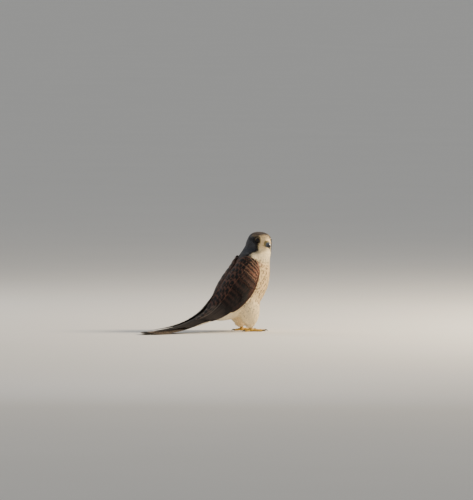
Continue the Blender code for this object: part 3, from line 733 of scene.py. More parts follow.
@dataclass(frozen=True)
class WetEye:
    """A falcon's eye: near-black brown iris round a black pupil under a wet, clear front."""

    name: str = "wet_eye"
    iris: str = "#20130B"
    pupil: str = "#050404"
    rim: str = "#0C0806"
    pupil_edge: tuple[float, float] = (0.150, 0.165)  # from the pole, as shares of half a turn
    iris_edge: tuple[float, float] = (0.27, 0.31)

    def build(self) -> bpy.types.Material:
        """Returns the material, which reads the angle from the eye's axis from its UV map."""
        w = Wiring(self.name)
        run = w.add("UVMap", uv_map="run")
        polar = w.add("SeparateXYZ", run, out=1)
        turn = w.add("SeparateXYZ", run)
        rays = w.add("TexNoise", {"W": turn, "Scale": 60.0, "Detail": 2.0}, noise_dimensions="1D")
        rays = w.add("MapRange", rays, 0.3, 0.7, 0.6, 1.5)
        iris = w.add("Mix", {0: 1.0, 6: rgba(self.iris), 7: rays}, **SHADED)
        hole = w.add("MapRange", polar, *self.pupil_edge, **EASED)
        shade = w.add("Mix", {0: hole, 6: rgba(self.pupil), 7: iris}, **BLENDED)
        out = w.add("MapRange", polar, *self.iris_edge, **EASED)
        shade = w.add("Mix", {0: out, 6: shade, 7: rgba(self.rim)}, **BLENDED)
        return w.finished({"Base Color": shade, "Roughness": 0.05, "IOR": 1.336})


@dataclass(frozen=True)
class StudioFloor:
    """Matt pale seamless board with the faintest mottle."""

    name: str = "studio_board"
    colour: str = "#E4E2DD"
    mottle_per_m: float = 3.0

    def build(self) -> bpy.types.Material:
        """Returns the material."""
        w = Wiring(self.name)
        place = w.add("TexCoord", out="Object")
        cloud = w.add("TexNoise", {0: place, "Scale": self.mottle_per_m, "Detail": 2.0})
        tone = w.add("MapRange", {0: cloud, 3: 0.97, 4: 1.02})
        shade = w.add("Mix", {0: 1.0, 6: rgba(self.colour), 7: tone}, **SHADED)
        return w.finished({"Base Color": shade, "Roughness": 0.8})


# ---------------------------------------------------------------- the body's form


def body_ring(
    x: float, z: float, rise_deg: float, front: float, back: float, side: float
) -> tuple[float, ...]:
    """Returns one ring of torso or tail: middle, axis, reach each way (mm), turn of the head."""
    rise = math.radians(rise_deg)
    axis = (math.cos(rise), 0.0, math.sin(rise))
    return (x * MM, 0.0, z * MM, *axis, front * MM, back * MM, side * MM, 0.0)


def head_ring(forward: float, up: float, front: float, back: float, side: float) -> tuple[float, ...]:
    """Returns one ring of the head, level in the head's own frame, in mm."""
    centre = in_head(forward * MM, 0.0, up * MM)
    return (*centre, *HEAD_UP, front * MM, back * MM, side * MM, 1.0)


# From under the tail to the crown, the same rings as the solids have.
BODY_RINGS = np.array(
    [
        body_ring(*row)
        for row in (
            (-76.0, 27.0, 30.0, 0.4, 0.4, 0.6), (-71.0, 30.0, 30.0, 9.0, 5.5, 10.5),
            (-61.0, 37.0, 36.0, 20.0, 12.0, 20.0), (-46.0, 48.0, 41.0, 31.0, 21.0, 29.0),
            (-28.0, 63.0, 46.0, 42.0, 30.0, 36.0), (-11.0, 79.0, 50.0, 43.0, 34.5, 38.5),
            (4.0, 97.0, 56.0, 39.0, 34.5, 37.5), (12.0, 113.5, 66.0, 33.0, 32.5, 33.5),
            (16.5, 127.0, 76.0, 27.0, 29.5, 29.0), (20.0, 138.0, 84.0, 25.0, 27.5, 26.5),
        )
    ]
    + [
        head_ring(*row)
        for row in (
            (-7.5, -16.0, 26.5, 25.5, 24.0), (-7.0, -8.5, 26.5, 24.0, 23.3), (-6.0, -1.0, 26.5, 22.0, 21.8),
            (-6.0, 5.0, 23.5, 19.0, 19.3), (-6.0, 9.2, 17.5, 14.5, 15.0), (-6.0, 11.6, 9.5, 8.5, 8.8),
            (-6.0, 12.4, 0.4, 0.4, 0.4),
        )
    ]
)
TAIL_RINGS = np.array(
    [
        body_ring(*row)
        for row in (
            (-217.0, 2.6, 0.0, 2.3, 1.9, 14.0), (-210.0, 2.7, 1.0, 2.5, 2.0, 19.5),
            (-192.0, 3.0, 2.0, 2.6, 2.0, 20.5), (-170.0, 4.6, 6.0, 2.8, 2.2, 19.0),
            (-145.0, 7.8, 10.0, 3.0, 2.6, 17.5), (-120.0, 12.8, 14.0, 3.5, 3.3, 15.5),
            (-97.0, 19.4, 19.0, 5.0, 4.2, 13.5), (-80.0, 25.7, 25.0, 7.6, 5.0, 11.5),
            (-71.0, 30.0, 30.0, 9.0, 5.5, 10.5),
        )
    ]
)
# The fleshy root inside the tail's feathers is slimmer than the tail.
TAIL_ROOT_RINGS = TAIL_RINGS * np.array([1.0] * 6 + [1.0, 0.72, 0.80, 1.0])
FACE_POWER = 1.6
EYE_SPOT = (6.6 * MM, 10.8 * MM, 1.6 * MM)
EYE_AIM = (0.74, 1.0, 0.16)
EYE_RADIUS = 5.4 * MM

# Right leg's feathered part from the bottom up: middle, reach forward and back, reach sideways.
TROUSER_ROWS = MM * np.array(
    [
        (-1.0, -17.5, 11.0, 5.0, 5.0, 5.0), (-2.0, -17.6, 14.0, 8.2, 10.0, 8.6),
        (-3.0, -18.0, 20.0, 12.8, 16.0, 12.4), (-4.5, -18.4, 30.0, 17.6, 21.0, 15.2),
        (-7.0, -19.0, 40.0, 21.0, 24.0, 16.0), (-10.0, -20.0, 51.0, 22.5, 24.0, 15.6),
        (-13.0, -20.5, 62.0, 18.0, 20.0, 13.6), (-15.0, -18.0, 72.0, 10.0, 12.0, 8.0),
    ]
)


def eye_centre(side: float) -> np.ndarray:
    """Returns the middle of an eye; side is 1 for the bird's left."""
    return in_head(EYE_SPOT[0], side * EYE_SPOT[1], EYE_SPOT[2])


def eye_axis(side: float) -> np.ndarray:
    """Returns the direction an eye looks in."""
    return unit(HEAD_FORWARD * EYE_AIM[0] + HEAD_LEFT * side * EYE_AIM[1] + HEAD_UP * EYE_AIM[2])


def ring_frames(rows: np.ndarray, at: np.ndarray) -> tuple[np.ndarray, ...]:
    """Reads rings' middles, axes, directions ahead and left, and their four numbers.

    Args:
        rows: The rings.
        at: Ring numbers.

    Returns:
        Middle, axis, ahead, left and the numbers, one row for each ring number.
    """
    row = along(rows, at)
    axis = unit(row[..., 3:6])
    ahead = np.array([1.0, 0.0, 0.0]) - axis * axis[..., :1]
    level = np.stack([axis[..., 2], np.zeros_like(axis[..., 0]), -axis[..., 0]], axis=-1)
    ahead = unit(np.where(axis[..., :1] > 0.97, level, ahead))
    sizes = np.maximum(row[..., 6:10], [0.1 * MM] * 3 + [0.0])
    return row[..., :3], axis, ahead, np.cross(axis, ahead), sizes


def ring_points(rows: np.ndarray, at: np.ndarray, angle: np.ndarray) -> np.ndarray:
    """Finds surface points at ring numbers and angles from the breast round to the left.

    Args:
        rows: The rings.
        at: Ring numbers.
        angle: Angles in radians, of the same shape.

    Returns:
        The points.
    """
    centre, _, ahead, left, sizes = ring_frames(rows, at)
    front, back, side, turn = np.moveaxis(sizes, -1, 0)
    radius = np.zeros_like(front)
    for share, own, sharp in ((1 - turn, angle, 2.0), (turn, angle - HEAD_TURN, FACE_POWER)):
        forward, aside = np.cos(own), np.sin(own)
        reach = np.where(forward > 0, front, back)
        power = np.where(forward > 0, sharp, 2.0)
        length = np.abs(forward / reach) ** power + np.abs(aside / side) ** power
        radius = radius + share * length ** (-1.0 / power)
    out = ahead * np.cos(angle)[..., None] + left * np.sin(angle)[..., None]
    points = centre + out * radius[..., None]
    inward = unit(centre - points)
    return points + inward * (eye_hollow(points) * (turn > 0.99))[..., None]


def eye_hollow(points: np.ndarray) -> np.ndarray:
    """Returns how far the head sinks round each eye, less the swelling of its brow."""
    sink = np.zeros(points.shape[:-1])
    for side in (-1.0, 1.0):
        eye = eye_centre(side) + eye_axis(side) * 4.4 * MM
        brow = eye + HEAD_UP * 6.5 * MM
        near, over = (np.linalg.norm(points - spot, axis=-1) for spot in (eye, brow))
        sink += 0.9 * MM * np.exp(-((near / (7.5 * MM)) ** 2))
        sink -= 1.2 * MM * np.exp(-((over / (5.0 * MM)) ** 2))
    return sink


def leg_points(side: float, row: np.ndarray, turn: np.ndarray) -> np.ndarray:
    """Finds points on the outside of a feathered leg.

    Args:
        side: -1 for the right leg, 1 for the left one.
        row: Rows of TROUSER_ROWS.
        turn: Angles round the leg, from the front.

    Returns:
        The points.
    """
    x, y, z, front, back, aside = np.moveaxis(along(TROUSER_ROWS, row), -1, 0)
    reach = np.where(np.cos(turn) > 0, front, back)
    return np.stack(
        [x + reach * np.cos(turn), -side * (y + aside * np.sin(turn)), z + 0 * reach], axis=-1
    )


def lofted(
    rows: np.ndarray, first: float, last: float, count: int, sides: int
) -> tuple[np.ndarray, list[tuple[int, ...]]]:
    """Returns points and faces of a ring-built form between two ring numbers."""
    return closed_rings(ring_points(rows, *crossed(np.linspace(first, last, count), around(sides))))


@dataclass
class Flesh:
    """The outer form of head, neck, torso, thighs and tail root that the coat follows."""

    voxel: float = 1.0 * MM
    tail_from: float = 4.2
    surface: bpy.types.Object = field(init=False)
    spots: np.ndarray = field(init=False)
    outs: np.ndarray = field(init=False)
    finder: KDTree = field(init=False)

    def build(self) -> None:
        """Joins the lofted forms, closes them into one surface and readies the search."""
        forms = [lofted(BODY_RINGS, 0.0, len(BODY_RINGS) - 1.0, 150, 96)]
        forms.append(lofted(TAIL_ROOT_RINGS, self.tail_from, len(TAIL_RINGS) - 0.6, 40, 48))
        for side in Side:
            forms += [closed_rings(self.thigh(side.sign)), closed_rings(self.lap(side.sign))]
        things = [mesh_piece(f"flesh_{i}", *form) for i, form in enumerate(forms)]
        bpy.ops.object.select_all(action="DESELECT")
        for thing in things:
            thing.select_set(True)
        bpy.context.view_layer.objects.active = things[0]
        bpy.ops.object.join()
        self.surface = things[0]
        outward(self.surface)
        finish_with(self.surface, "REMESH", mode="VOXEL", voxel_size=self.voxel)
        finish_with(self.surface, "SMOOTH", factor=0.5, iterations=6)
        vertices = self.surface.data.vertices
        self.spots = read(vertices, "co", 3) - ORIGIN_SHIFT
        self.outs = read(vertices, "normal", 3)
        self.finder = finder_over(self.spots)

    @staticmethod
    def thigh(side: float) -> np.ndarray:
        """Returns the rings of a feathered leg; side is -1 for the right one."""
        return leg_points(side, np.linspace(0, len(TROUSER_ROWS) - 1, 40)[:, None], around(40))

    @staticmethod
    def lap(side: float) -> np.ndarray:
        """Returns the rings of the loose feathers that bridge the crease of belly and thigh."""
        polar, turn = crossed(np.linspace(0.02, math.pi - 0.02, 16), around(24))
        shape = np.stack([np.sin(polar) * np.cos(turn), np.sin(polar) * np.sin(turn), np.cos(polar)], -1)
        middle = np.array([4.5, side * 12.5, 52.0]) * MM
        return middle + shape * np.array([14.5, 12.0, 17.0]) * MM

    def onto(self, points: np.ndarray) -> tuple[np.ndarray, np.ndarray]:
        """Drops points onto the surface.

        Args:
            points: Points, in an array of any shape by three.

        Returns:
            The places on the surface and the directions out of it there.
        """
        flat = points.reshape(-1, 3)
        base, out = only(nearest(self.finder, flat), self.spots, self.outs)
        near = flat - out * ((flat - base) * out).sum(-1, keepdims=True)
        return near.reshape(points.shape), out.reshape(points.shape)


# ---------------------------------------------------------------- markings


@dataclass(frozen=True)
class Palette:
    """Plumage colours of a bird in female-type dress with a grey-washed head, as sRGB hex; the colours of the
    upper side, wings and hood are their own, darkened further with painted shade.
    """

    # mantle, mantle_warm, flight, flight_edge, covert, covert_dark_and_shade, tertial and tertial_edge: own
    # colours darkened with painted shade.
    mantle: str = "#4E342B"
    mantle_warm: str = "#725040"
    bar: str = "#0F0C0B"
    rump: str = "#6E6058"
    breast: str = "#EBCC98"
    belly: str = "#FAE6BC"
    vent: str = "#F6EBD2"
    streak: str = "#40261A"
    # crown, ear and nape: the hood's own grey-brown, darkened with painted shade.
    crown: str = "#4B413A"
    ear: str = "#484A50"
    face: str = "#EACF9F"
    throat: str = "#F6E3B9"
    moustache: str = "#121010"
    nape: str = "#4A403D"
    fringe: str = "#CDAA86"
    flight: str = "#1B1715"
    flight_edge: str = "#5E5149"
    covert: str = "#412C25"
    # the wing's dark brown deepened with painted shade; the lesser and edge coverts darken towards it away
    # from the wrist.
    covert_dark_and_shade: str = "#1F1614"
    tertial: str = "#493830"
    tertial_edge: str = "#968B80"
    lesser: str = "#96614A"
    tail: str = "#85725F"
    tail_tip: str = "#EADFCB"


HUES = Palette()
TINTS = SimpleNamespace(**{label: linear(code)[None] for label, code in vars(HUES).items()})
DROP_ROWS_MM = 8.8  # between the rows and the columns of the breast's dark drops
DROP_COLUMNS_MM = 6.4
NO_BAND = (-9.0, -9.0)  # a feather without a pale tip and the dark band behind it


@dataclass
class Marks:
    """What every feather of a batch is coloured by, one row each."""

    ground: np.ndarray
    mark: np.ndarray
    fringe: np.ndarray
    marks: np.ndarray  # strength of bars, of the shaft streak and of the pale rim
    bars: np.ndarray  # first bar's distance from the tip, its half width, its bend, in mm
    cap: np.ndarray  # pale tip, end of the dark band behind it, width of the rim, in mm
    spacing: np.ndarray  # from one bar to the next, in mm


def spotted(at: np.ndarray, angle: np.ndarray, rng: np.random.Generator) -> np.ndarray:
    """Says which breast feathers carry a dark drop, so that the drops stand apart in rows.

    Args:
        at: Ring numbers of the feathers.
        angle: Their angles from the breast.
        rng: Draws the stray drops.

    Returns:
        How strong each one's drop is, 0 to 1.
    """
    run = np.concatenate([[0.0], np.cumsum(np.linalg.norm(np.diff(BODY_RINGS[:, :3], axis=0), axis=1))])
    down = np.interp(at, np.arange(len(run)), run) / MM / DROP_ROWS_MM
    row = np.floor(down)
    turn = (angle + math.pi) % (2 * math.pi) - math.pi
    over = turn * 35.0 / DROP_COLUMNS_MM + 0.5 * (row % 2)  # the breast's radius is about 35 mm
    column = np.floor(over)
    mixers = ((12.9, 78.2), (39.3, 11.1), (73.1, 52.2))
    chance = [(np.sin(row * a + column * b) * 43758.5) % 1.0 for a, b in mixers]
    aside = (over - column - 0.5) * DROP_COLUMNS_MM - (chance[0] - 0.5) * 2.6
    apart = (down - row - 0.5) * DROP_ROWS_MM - (chance[1] - 0.5) * 3.4
    drop = (np.abs(aside) < 1.6) & (np.abs(apart) < 2.5 + 1.7 * chance[2]) & (chance[2] > 0.08)
    return np.maximum(drop * 1.0, (rng.random(len(at)) < 0.05) * 0.6)


def body_marks(points: np.ndarray, at: np.ndarray, angle: np.ndarray, seed: int) -> Marks:
    """Says how the plumage is marked at places on the body.

    Args:
        points: Places in the source's frame.
        at: Ring numbers there.
        angle: Angles from the breast there.
        seed: Seeds the small differences.

    Returns:
        The marks of a feather that grows at each place.
    """
    rng = np.random.default_rng(seed)
    count = len(points)
    jitter = rng.normal(0.0, 1.0, (count, 3))
    forward, left, up = head_spot(points)
    forward, up = forward + jitter[:, 0] * 0.5, up + jitter[:, 1] * 0.5
    facing = np.cos(angle) + jitter[:, 2] * 0.05

    # Torso: warm barred back, streaked buff front, plain vent.
    back = smooth(-0.02, -0.32, facing)
    under = mix(TINTS.belly, TINTS.breast, smooth(3.2, 6.0, at))
    under = mix(under, TINTS.vent, smooth(3.4, 2.2, at))
    over = mix(TINTS.rump, TINTS.mantle, smooth(2.8, 4.2, at))
    ground = mix(under, over, back)
    mark = mix(TINTS.streak, TINTS.bar, back)
    bar = back * smooth(2.4, 4.6, at)
    streaked = smooth(3.0, 4.4, at) * (0.7 + 0.3 * smooth(4.0, 6.0, at))
    streak = (1 - back) * streaked * spotted(at, angle, rng)
    flank = smooth(0.62, 0.35, facing) * smooth(2.6, 3.4, at) * smooth(6.8, 5.8, at) * (1 - back)
    streak = np.maximum(streak, flank * (rng.random(count) < 0.22) * streaked)
    rim = back * 0.55 * smooth(3.4, 4.8, at)

    # Neck and head: pale front, slate sides that reach down to the mantle, brown-grey crown.
    neck = smooth(7.9, 8.9, at)
    side = np.abs(left)
    lean = 11.6 + (up + 4.0) * 0.06  # how far forward the moustache lies at each height
    turned = smooth(10.2, 7.4, at)  # from the head's own back to the body's
    blend = 1.6 + 10.0 * turned * (1 - turned) + jitter[:, 0] * 0.3
    rear = smooth(-1.0, 1.0, mix(lean - forward, (-0.42 - facing) * 27.0, turned) / blend)
    slate = mix(TINTS.ear, TINTS.nape, smooth(13.0, 2.0, side) * 0.85)
    slate = mix(slate, TINTS.nape, smooth(-19.0, -27.0, up) * 0.7)
    cheek = mix(TINTS.throat, TINTS.face, smooth(-14.0, -4.0, up))
    tone = mix(cheek, slate, rear)
    crown = smooth(5.4, 8.2, up + 0.20 * np.minimum(forward, 6.0))
    tone = mix(tone, TINTS.crown, crown)
    tone = mix(tone, TINTS.face, smooth(5.0, 12.0, forward) * smooth(1.0, 5.0, up) * 0.8)
    brow = np.exp(-(((up - 7.0) / 1.5) ** 2)) * smooth(-6.0, -1.0, forward) * smooth(6.0, 9.0, side)
    tone = mix(tone, TINTS.face, brow * 0.3)
    line = np.exp(-(((up - 1.2) / 2.2) ** 2)) * smooth(4.5, 1.0, forward) * smooth(-12.0, -5.0, forward)
    tone = mix(tone, TINTS.moustache, line * smooth(8.0, 11.0, side) * 0.7)
    stripe = np.exp(-((np.abs(forward - lean) / np.maximum(2.7 + 0.05 * up, 1.2)) ** 3))
    stripe = stripe * smooth(2.5, -1.0, up) * smooth(-30.0, -21.0, up) * smooth(5.0, 8.0, side)
    tone = mix(tone, TINTS.moustache, stripe * 0.97)
    lids = (points - eye_centre(own) - eye_axis(own) * 3.0 * MM for own in (-1, 1))
    near_eye = np.minimum(*(np.linalg.norm(gap, axis=-1) for gap in lids)) / MM
    tone = mix(tone, TINTS.moustache, smooth(7.6, 6.2, near_eye) * 0.8)
    ground = mix(ground, tone, neck)
    mark = mix(mark, TINTS.bar, neck)
    bar = bar * (1 - neck)
    dusky = np.maximum(rear, crown) * (1 - stripe)
    upper = streak * 0.7 * (1 - rear) * smooth(9.6, 8.6, at)
    streak = mix(streak, np.maximum(dusky * mix(0.75, 0.45, smooth(8.0, 12.0, side) * rear), upper), neck)
    rim = rim * (1 - neck)
    shoulder = smooth(6.9, 7.4, at) * smooth(9.3, 8.7, at) * smooth(0.12, -0.1, facing)
    pale_tip = shoulder * smooth(-0.9, -0.7, facing) * (1 - 0.85 * rear) * (rng.random(count) < 0.2)
    rim = np.maximum(rim, pale_tip)

    size = 1 - 0.75 * neck
    return Marks(
        ground=ground,
        mark=mark,
        fringe=mix(TINTS.mantle_warm, TINTS.fringe, pale_tip),
        marks=np.stack([bar, streak, rim], axis=-1),
        bars=np.stack([4.6 * size, 1.7 * size, 1.8 * size], axis=-1),
        cap=np.column_stack([np.tile(NO_BAND, (count, 1)), 0.7 * size + 0.35 * pale_tip]),
        spacing=9.0 * size,
    )


# ---------------------------------------------------------------- feathers as meshes


@dataclass(frozen=True)
class Cut:
    """How finely one feather is cut, and its outline.

    Columns run across it and stations along it. It is widest up to the share blunt of its
    length; taper is larger for a more pointed tip, and ragged is how unevenly its tip ends.
    """

    columns: int = 5
    stations: int = 6
    thickness: float = 0.12 * MM
    camber: float = 0.25 * MM
    blunt: float = 0.55
    waist: float = 0.5
    taper: float = 0.43
    ragged: float = 0.0

    def grid(self) -> tuple[np.ndarray, np.ndarray]:
        """Returns the shares across (-1 to 1) and along (0 to 1)."""
        across = np.linspace(-1.0, 1.0, self.columns)
        steps = np.linspace(0.0, 1.0, self.stations)
        return across, 1.0 - (1.0 - steps) ** 1.6

    def width(self, share: np.ndarray) -> np.ndarray:
        """Returns the width along the feather as a share of its widest."""
        tip = np.clip((share - self.blunt) / (1.0 - self.blunt), 0.0, 1.0)
        rounded = np.maximum(1.0 - tip**2.3, 0.0) ** self.taper
        return np.minimum(1.0, self.waist + 1.5 * share) * np.maximum(rounded, 0.07)


def feather_mesh(
    name: str,
    tops: np.ndarray,
    outs: np.ndarray,
    cut: Cut,
    marks: Marks,
    sizes: np.ndarray,
    roots: np.ndarray,
    patch: tuple[float, float],
    seed: int,
) -> bpy.types.Object:
    """Joins many feathers into one mesh of thin closed slips.

    Args:
        name: The object's name.
        tops: Upper points, as feathers by stations by columns by three.
        outs: Directions out of the surface at the same points.
        cut: How the feathers are cut.
        marks: Their colours and marks.
        sizes: Length and half width of each, in mm.
        roots: Each root's place on the unwrap of the skin.
        patch: Width and height of a feather on that unwrap.
        seed: Seeds the chance value of each feather.

    Returns:
        The new object.
    """
    count, stations, columns = tops.shape[:3]
    lows = (tops - outs * cut.thickness)[:, 1:-1, 1:-1].reshape(count, -1, 3)
    points = np.concatenate([tops.reshape(count, -1, 3), lows], axis=1)
    upper = np.arange(stations * columns).reshape(stations, columns)
    lower = upper.copy()
    lower[1:-1, 1:-1] = stations * columns + np.arange(lows.shape[1]).reshape(stations - 2, -1)
    faces = []
    for sheet, turn in ((upper, 1), (lower, -1)):
        quad = np.stack([sheet[:-1, :-1], sheet[:-1, 1:], sheet[1:, 1:], sheet[1:, :-1]], axis=-1)
        faces.append(quad.reshape(-1, 4)[:, ::turn])
    one = np.concatenate(faces)
    each = points.shape[1]
    every = (one[None] + (np.arange(count) * each)[:, None, None]).reshape(-1, 4)

    across, share = cut.grid()
    flat = np.stack(np.broadcast_arrays(across[None, :], share[:, None]), axis=-1)
    vane = np.concatenate([flat.reshape(-1, 2), flat[1:-1, 1:-1].reshape(-1, 2)])
    spread = np.tile(vane, (count, 1))
    nest = np.repeat(roots, each, axis=0) + (spread * (0.5, 1.0) + (0.5, 0.0)) * patch
    chance = np.random.default_rng(seed).random(count)
    facts = {label: getattr(marks, label) for label in ("ground", "mark", "fringe", "marks", "bars", "cap")}
    facts |= {"size": np.column_stack([sizes, marks.spacing]), "chance": chance}
    facts = {label: np.repeat(values, each, axis=0) for label, values in facts.items()}
    made = mesh_piece(name, points.reshape(-1, 3), every, {"vane": spread, "OFBake": nest}, facts)

    # The rim is marked sharp, so that the light on the vane isn't rounded off towards it.
    on_rim = np.zeros(each, bool)
    on_rim[: stations * columns] = (upper == lower).ravel()
    sharp = on_rim[read(made.data.edges, "vertices", 2, np.int32) % each].all(axis=1)
    layer = made.data.attributes.new("sharp_edge", "BOOLEAN", "EDGE")
    layer.data.foreach_set("value", sharp)
    return made


@dataclass(frozen=True)
class Region:
    """A stretch of contour feathers: where they grow, how dense, how long and how they stand.

    Pairs of numbers hold for the first and the last ring. Lengths are in mm.
    """

    name: str
    rings: tuple[float, float]
    facing: tuple[float, float]
    step: tuple[float, float]
    length: tuple[float, float]
    half: tuple[float, float]
    lift: tuple[float, float]
    slot: str
    seed: int
    cut: Cut = Cut()
    stray_deg: float = 5.0
    on_tail: bool = False
    over_wings: bool = False  # the feathers lie over the wings' upper edges


@dataclass
class Coat:
    """The small feathers of head, neck and body, in rows that lie along it."""

    flesh: Flesh
    finish: bpy.types.Material
    wings: list[BVHTree]
    vanes: BVHTree
    unwrap: float = 0.94  # share of the map's width that once round the body takes
    hidden_under: float = 20.0 * MM  # a feather this far under a wing or nearer isn't grown
    cape_clear: float = 6.0 * MM  # nor one of the cape with a vane this far over it or nearer

    def grow(self, region: Region) -> bpy.types.Object:
        """Grows one region's feathers.

        Args:
            region: What grows there.

        Returns:
            The coat piece.
        """
        rng = np.random.default_rng(region.seed)
        rings = TAIL_ROOT_RINGS if region.on_tail else BODY_RINGS
        at, angle = self.roots(region, rings, rng)
        spots = ring_points(rings, at, angle)
        if not region.on_tail:
            at, angle, spots = only(self.bare_free(spots), at, angle, spots)
        share = np.clip((at - region.rings[0]) / (region.rings[1] - region.rings[0]), 0.0, 1.0)
        length = np.interp(share, (0, 1), region.length) * rng.uniform(0.88, 1.12, len(at))
        half = np.interp(share, (0, 1), region.half) * rng.uniform(0.9, 1.1, len(at))
        base, out = self.flesh.onto(spots)
        aim = self.lie(spots, at, rings, region.on_tail)
        aim = unit(aim - out * (aim * out).sum(-1, keepdims=True))
        stray = np.radians(rng.normal(0.0, region.stray_deg, len(at)))[:, None]
        aim = aim * np.cos(stray) + np.cross(out, aim) * np.sin(stray)
        length, half = self.fitted(base, aim, length, half, at)
        tips = base if region.over_wings else base + aim * length[:, None] * MM
        shown = self.in_sight(base, tips, out)
        at, angle, base, out, aim, length, half = only(shown, at, angle, base, out, aim, length, half)

        across, along_it = region.cut.grid()
        wide = half[:, None] * region.cut.width(along_it)[None, :] * MM
        aside = np.cross(aim, out)
        uneven = rng.uniform(-1.0, 0.6, (len(at), 1, len(across))) * region.cut.ragged
        reach = length[:, None, None] * along_it[None, :, None] * MM
        reach = reach * (1.0 + uneven * along_it[None, :, None] ** 3)
        flat = (
            base[:, None, None]
            + aim[:, None, None] * reach[..., None]
            + aside[:, None, None] * (wide[:, :, None] * across)[..., None]
        )
        near, outs = self.flesh.onto(flat)
        kept = self.unbroken(near, outs, length)
        at, angle, base, length, half, near, outs = only(kept, at, angle, base, length, half, near, outs)
        depth = np.minimum(1.0, length / 6.0)[:, None]
        lift = between(region.lift, along_it[None, :] ** 0.75)
        lift = lift * depth + rng.normal(0.0, 0.05, (len(at), 1))
        if region.over_wings:
            need = self.wing_height(near, outs).max(axis=2) / np.maximum(along_it, 0.3)
            lift = np.maximum(lift, np.minimum(need.max(axis=1), 4.6)[:, None] * along_it)
        bulge = region.cut.camber * np.minimum(1.0, half / 3.0)[:, None, None] * (1 - across**2)
        tops = near + outs * (lift[:, :, None] * MM + bulge)[..., None]
        if region.over_wings:
            kept = self.unburied(tops, outs)
            at, angle, base, length, half, tops, outs = only(kept, at, angle, base, length, half, tops, outs)
        if region.on_tail:
            marks, low, high = look_marks(VENT, np.zeros(len(at)), region.seed + 1), 0.005, 0.02
        else:
            marks, low, high = body_marks(base, at, angle, region.seed + 1), 0.03, 0.94
        turn = (angle % (2 * math.pi)) / (2 * math.pi) * self.unwrap + 0.02
        roots = np.column_stack([turn, low + high * at / (len(rings) - 1.0)])
        made = feather_mesh(
            region.name, tops, outs, region.cut, marks, np.column_stack([length, half]),
            roots, (0.003, 0.003), region.seed,
        )
        return placed(made, self.finish, region.slot)

    @staticmethod
    def unbroken(near: np.ndarray, outs: np.ndarray, length: np.ndarray) -> np.ndarray:
        """Says which feathers stay on one side of the body, neither folded round it nor torn."""
        steps = np.linalg.norm(np.diff(near, axis=1), axis=-1).sum(axis=1).max(axis=1) / MM
        bend = (outs[:, -1] * outs[:, :1, 0]).sum(-1).min(axis=1)
        return (steps < 1.4 * length + 0.6) & (bend > -0.1)

    def unburied(self, tops: np.ndarray, outs: np.ndarray) -> np.ndarray:
        """Says which feathers have no vane of a wing over their outer part."""
        half, middle, clear = tops.shape[1] // 2, tops.shape[2] // 2, self.cape_clear
        shafts = zip(tops[:, half:, middle], outs[:, half:, middle])
        return np.array(
            [all(struck(self.vanes, *ray, clear) is None for ray in zip(*shaft)) for shaft in shafts]
        )

    @staticmethod
    def roots(
        region: Region, rings: np.ndarray, rng: np.random.Generator
    ) -> tuple[np.ndarray, np.ndarray]:
        """Places staggered rows of roots by their distances on the surface.

        Args:
            region: What grows there.
            rings: The rings of the form.
            rng: Draws the small differences.

        Returns:
            Ring numbers and angles of the roots.
        """
        first, last = region.rings
        fine = np.linspace(first, last, 240)
        turns = around(90)
        net = ring_points(rings, *crossed(fine, turns))
        facing = np.cos(turns)
        used = (facing >= region.facing[0] - 0.1) & (facing <= region.facing[1] + 0.1)
        run = np.linalg.norm(np.diff(net[:, used], axis=0), axis=-1).mean(1)
        run = np.concatenate([[0.0], np.cumsum(run)]) / MM
        stops, place = [], 0.0
        while place < run[-1]:
            stops.append(np.interp(place, run, fine))
            place += np.interp(stops[-1], (first, last), region.step)
        ats, angles = [], []
        once_round = np.linspace(0, 2 * math.pi, 181)
        for number, stop in enumerate(stops):
            step = np.interp(stop, (first, last), region.step)
            circle = ring_points(rings, np.full(181, stop), once_round)
            walk = np.concatenate([[0.0], np.cumsum(np.linalg.norm(np.diff(circle, axis=0), axis=-1))])
            walk /= MM
            count = max(3, int(round(walk[-1] / step)))
            marks = (np.arange(count) + 0.5 * (number % 2) + rng.normal(0, 0.16, count)) / count
            angles.append(np.interp((marks % 1.0) * walk[-1], walk, once_round))
            ats.append(stop + rng.normal(0, 0.12, count) * (last - first) * step / run[-1])
        at, angle = np.clip(np.concatenate(ats), first, last), np.concatenate(angles)
        facing = np.cos(angle)
        chosen = (facing >= region.facing[0]) & (facing <= region.facing[1])
        return at[chosen], angle[chosen]

    @staticmethod
    def lie(spots: np.ndarray, at: np.ndarray, rings: np.ndarray, on_tail: bool) -> np.ndarray:
        """Returns the direction the coat lies in: to the tail, and back from the bill."""
        axis = ring_frames(rings, at)[1]
        if on_tail:
            return -axis
        sag = 0.10 + 0.55 * smooth(2.0, -14.0, head_spot(spots)[2])
        swept = -HEAD_FORWARD - HEAD_UP * sag[:, None]
        return mix(-axis, swept, smooth(9.2, 11.6, at))

    @staticmethod
    def bare_free(spots: np.ndarray) -> np.ndarray:
        """Says which roots lie clear of eyes, cere and bill."""
        forward, left, up = head_spot(spots)
        keep = ~((forward > 18.0) & (np.abs(left) < 4.6) & (up > -8.4) & (up < 2.8))
        for side in (-1.0, 1.0):
            gap = spots - eye_centre(side)
            axis = eye_axis(side)
            aside = gap - (gap @ axis)[:, None] * axis
            keep &= (np.linalg.norm(aside, axis=-1) > 5.0 * MM) | (gap @ axis < 0)
        return keep

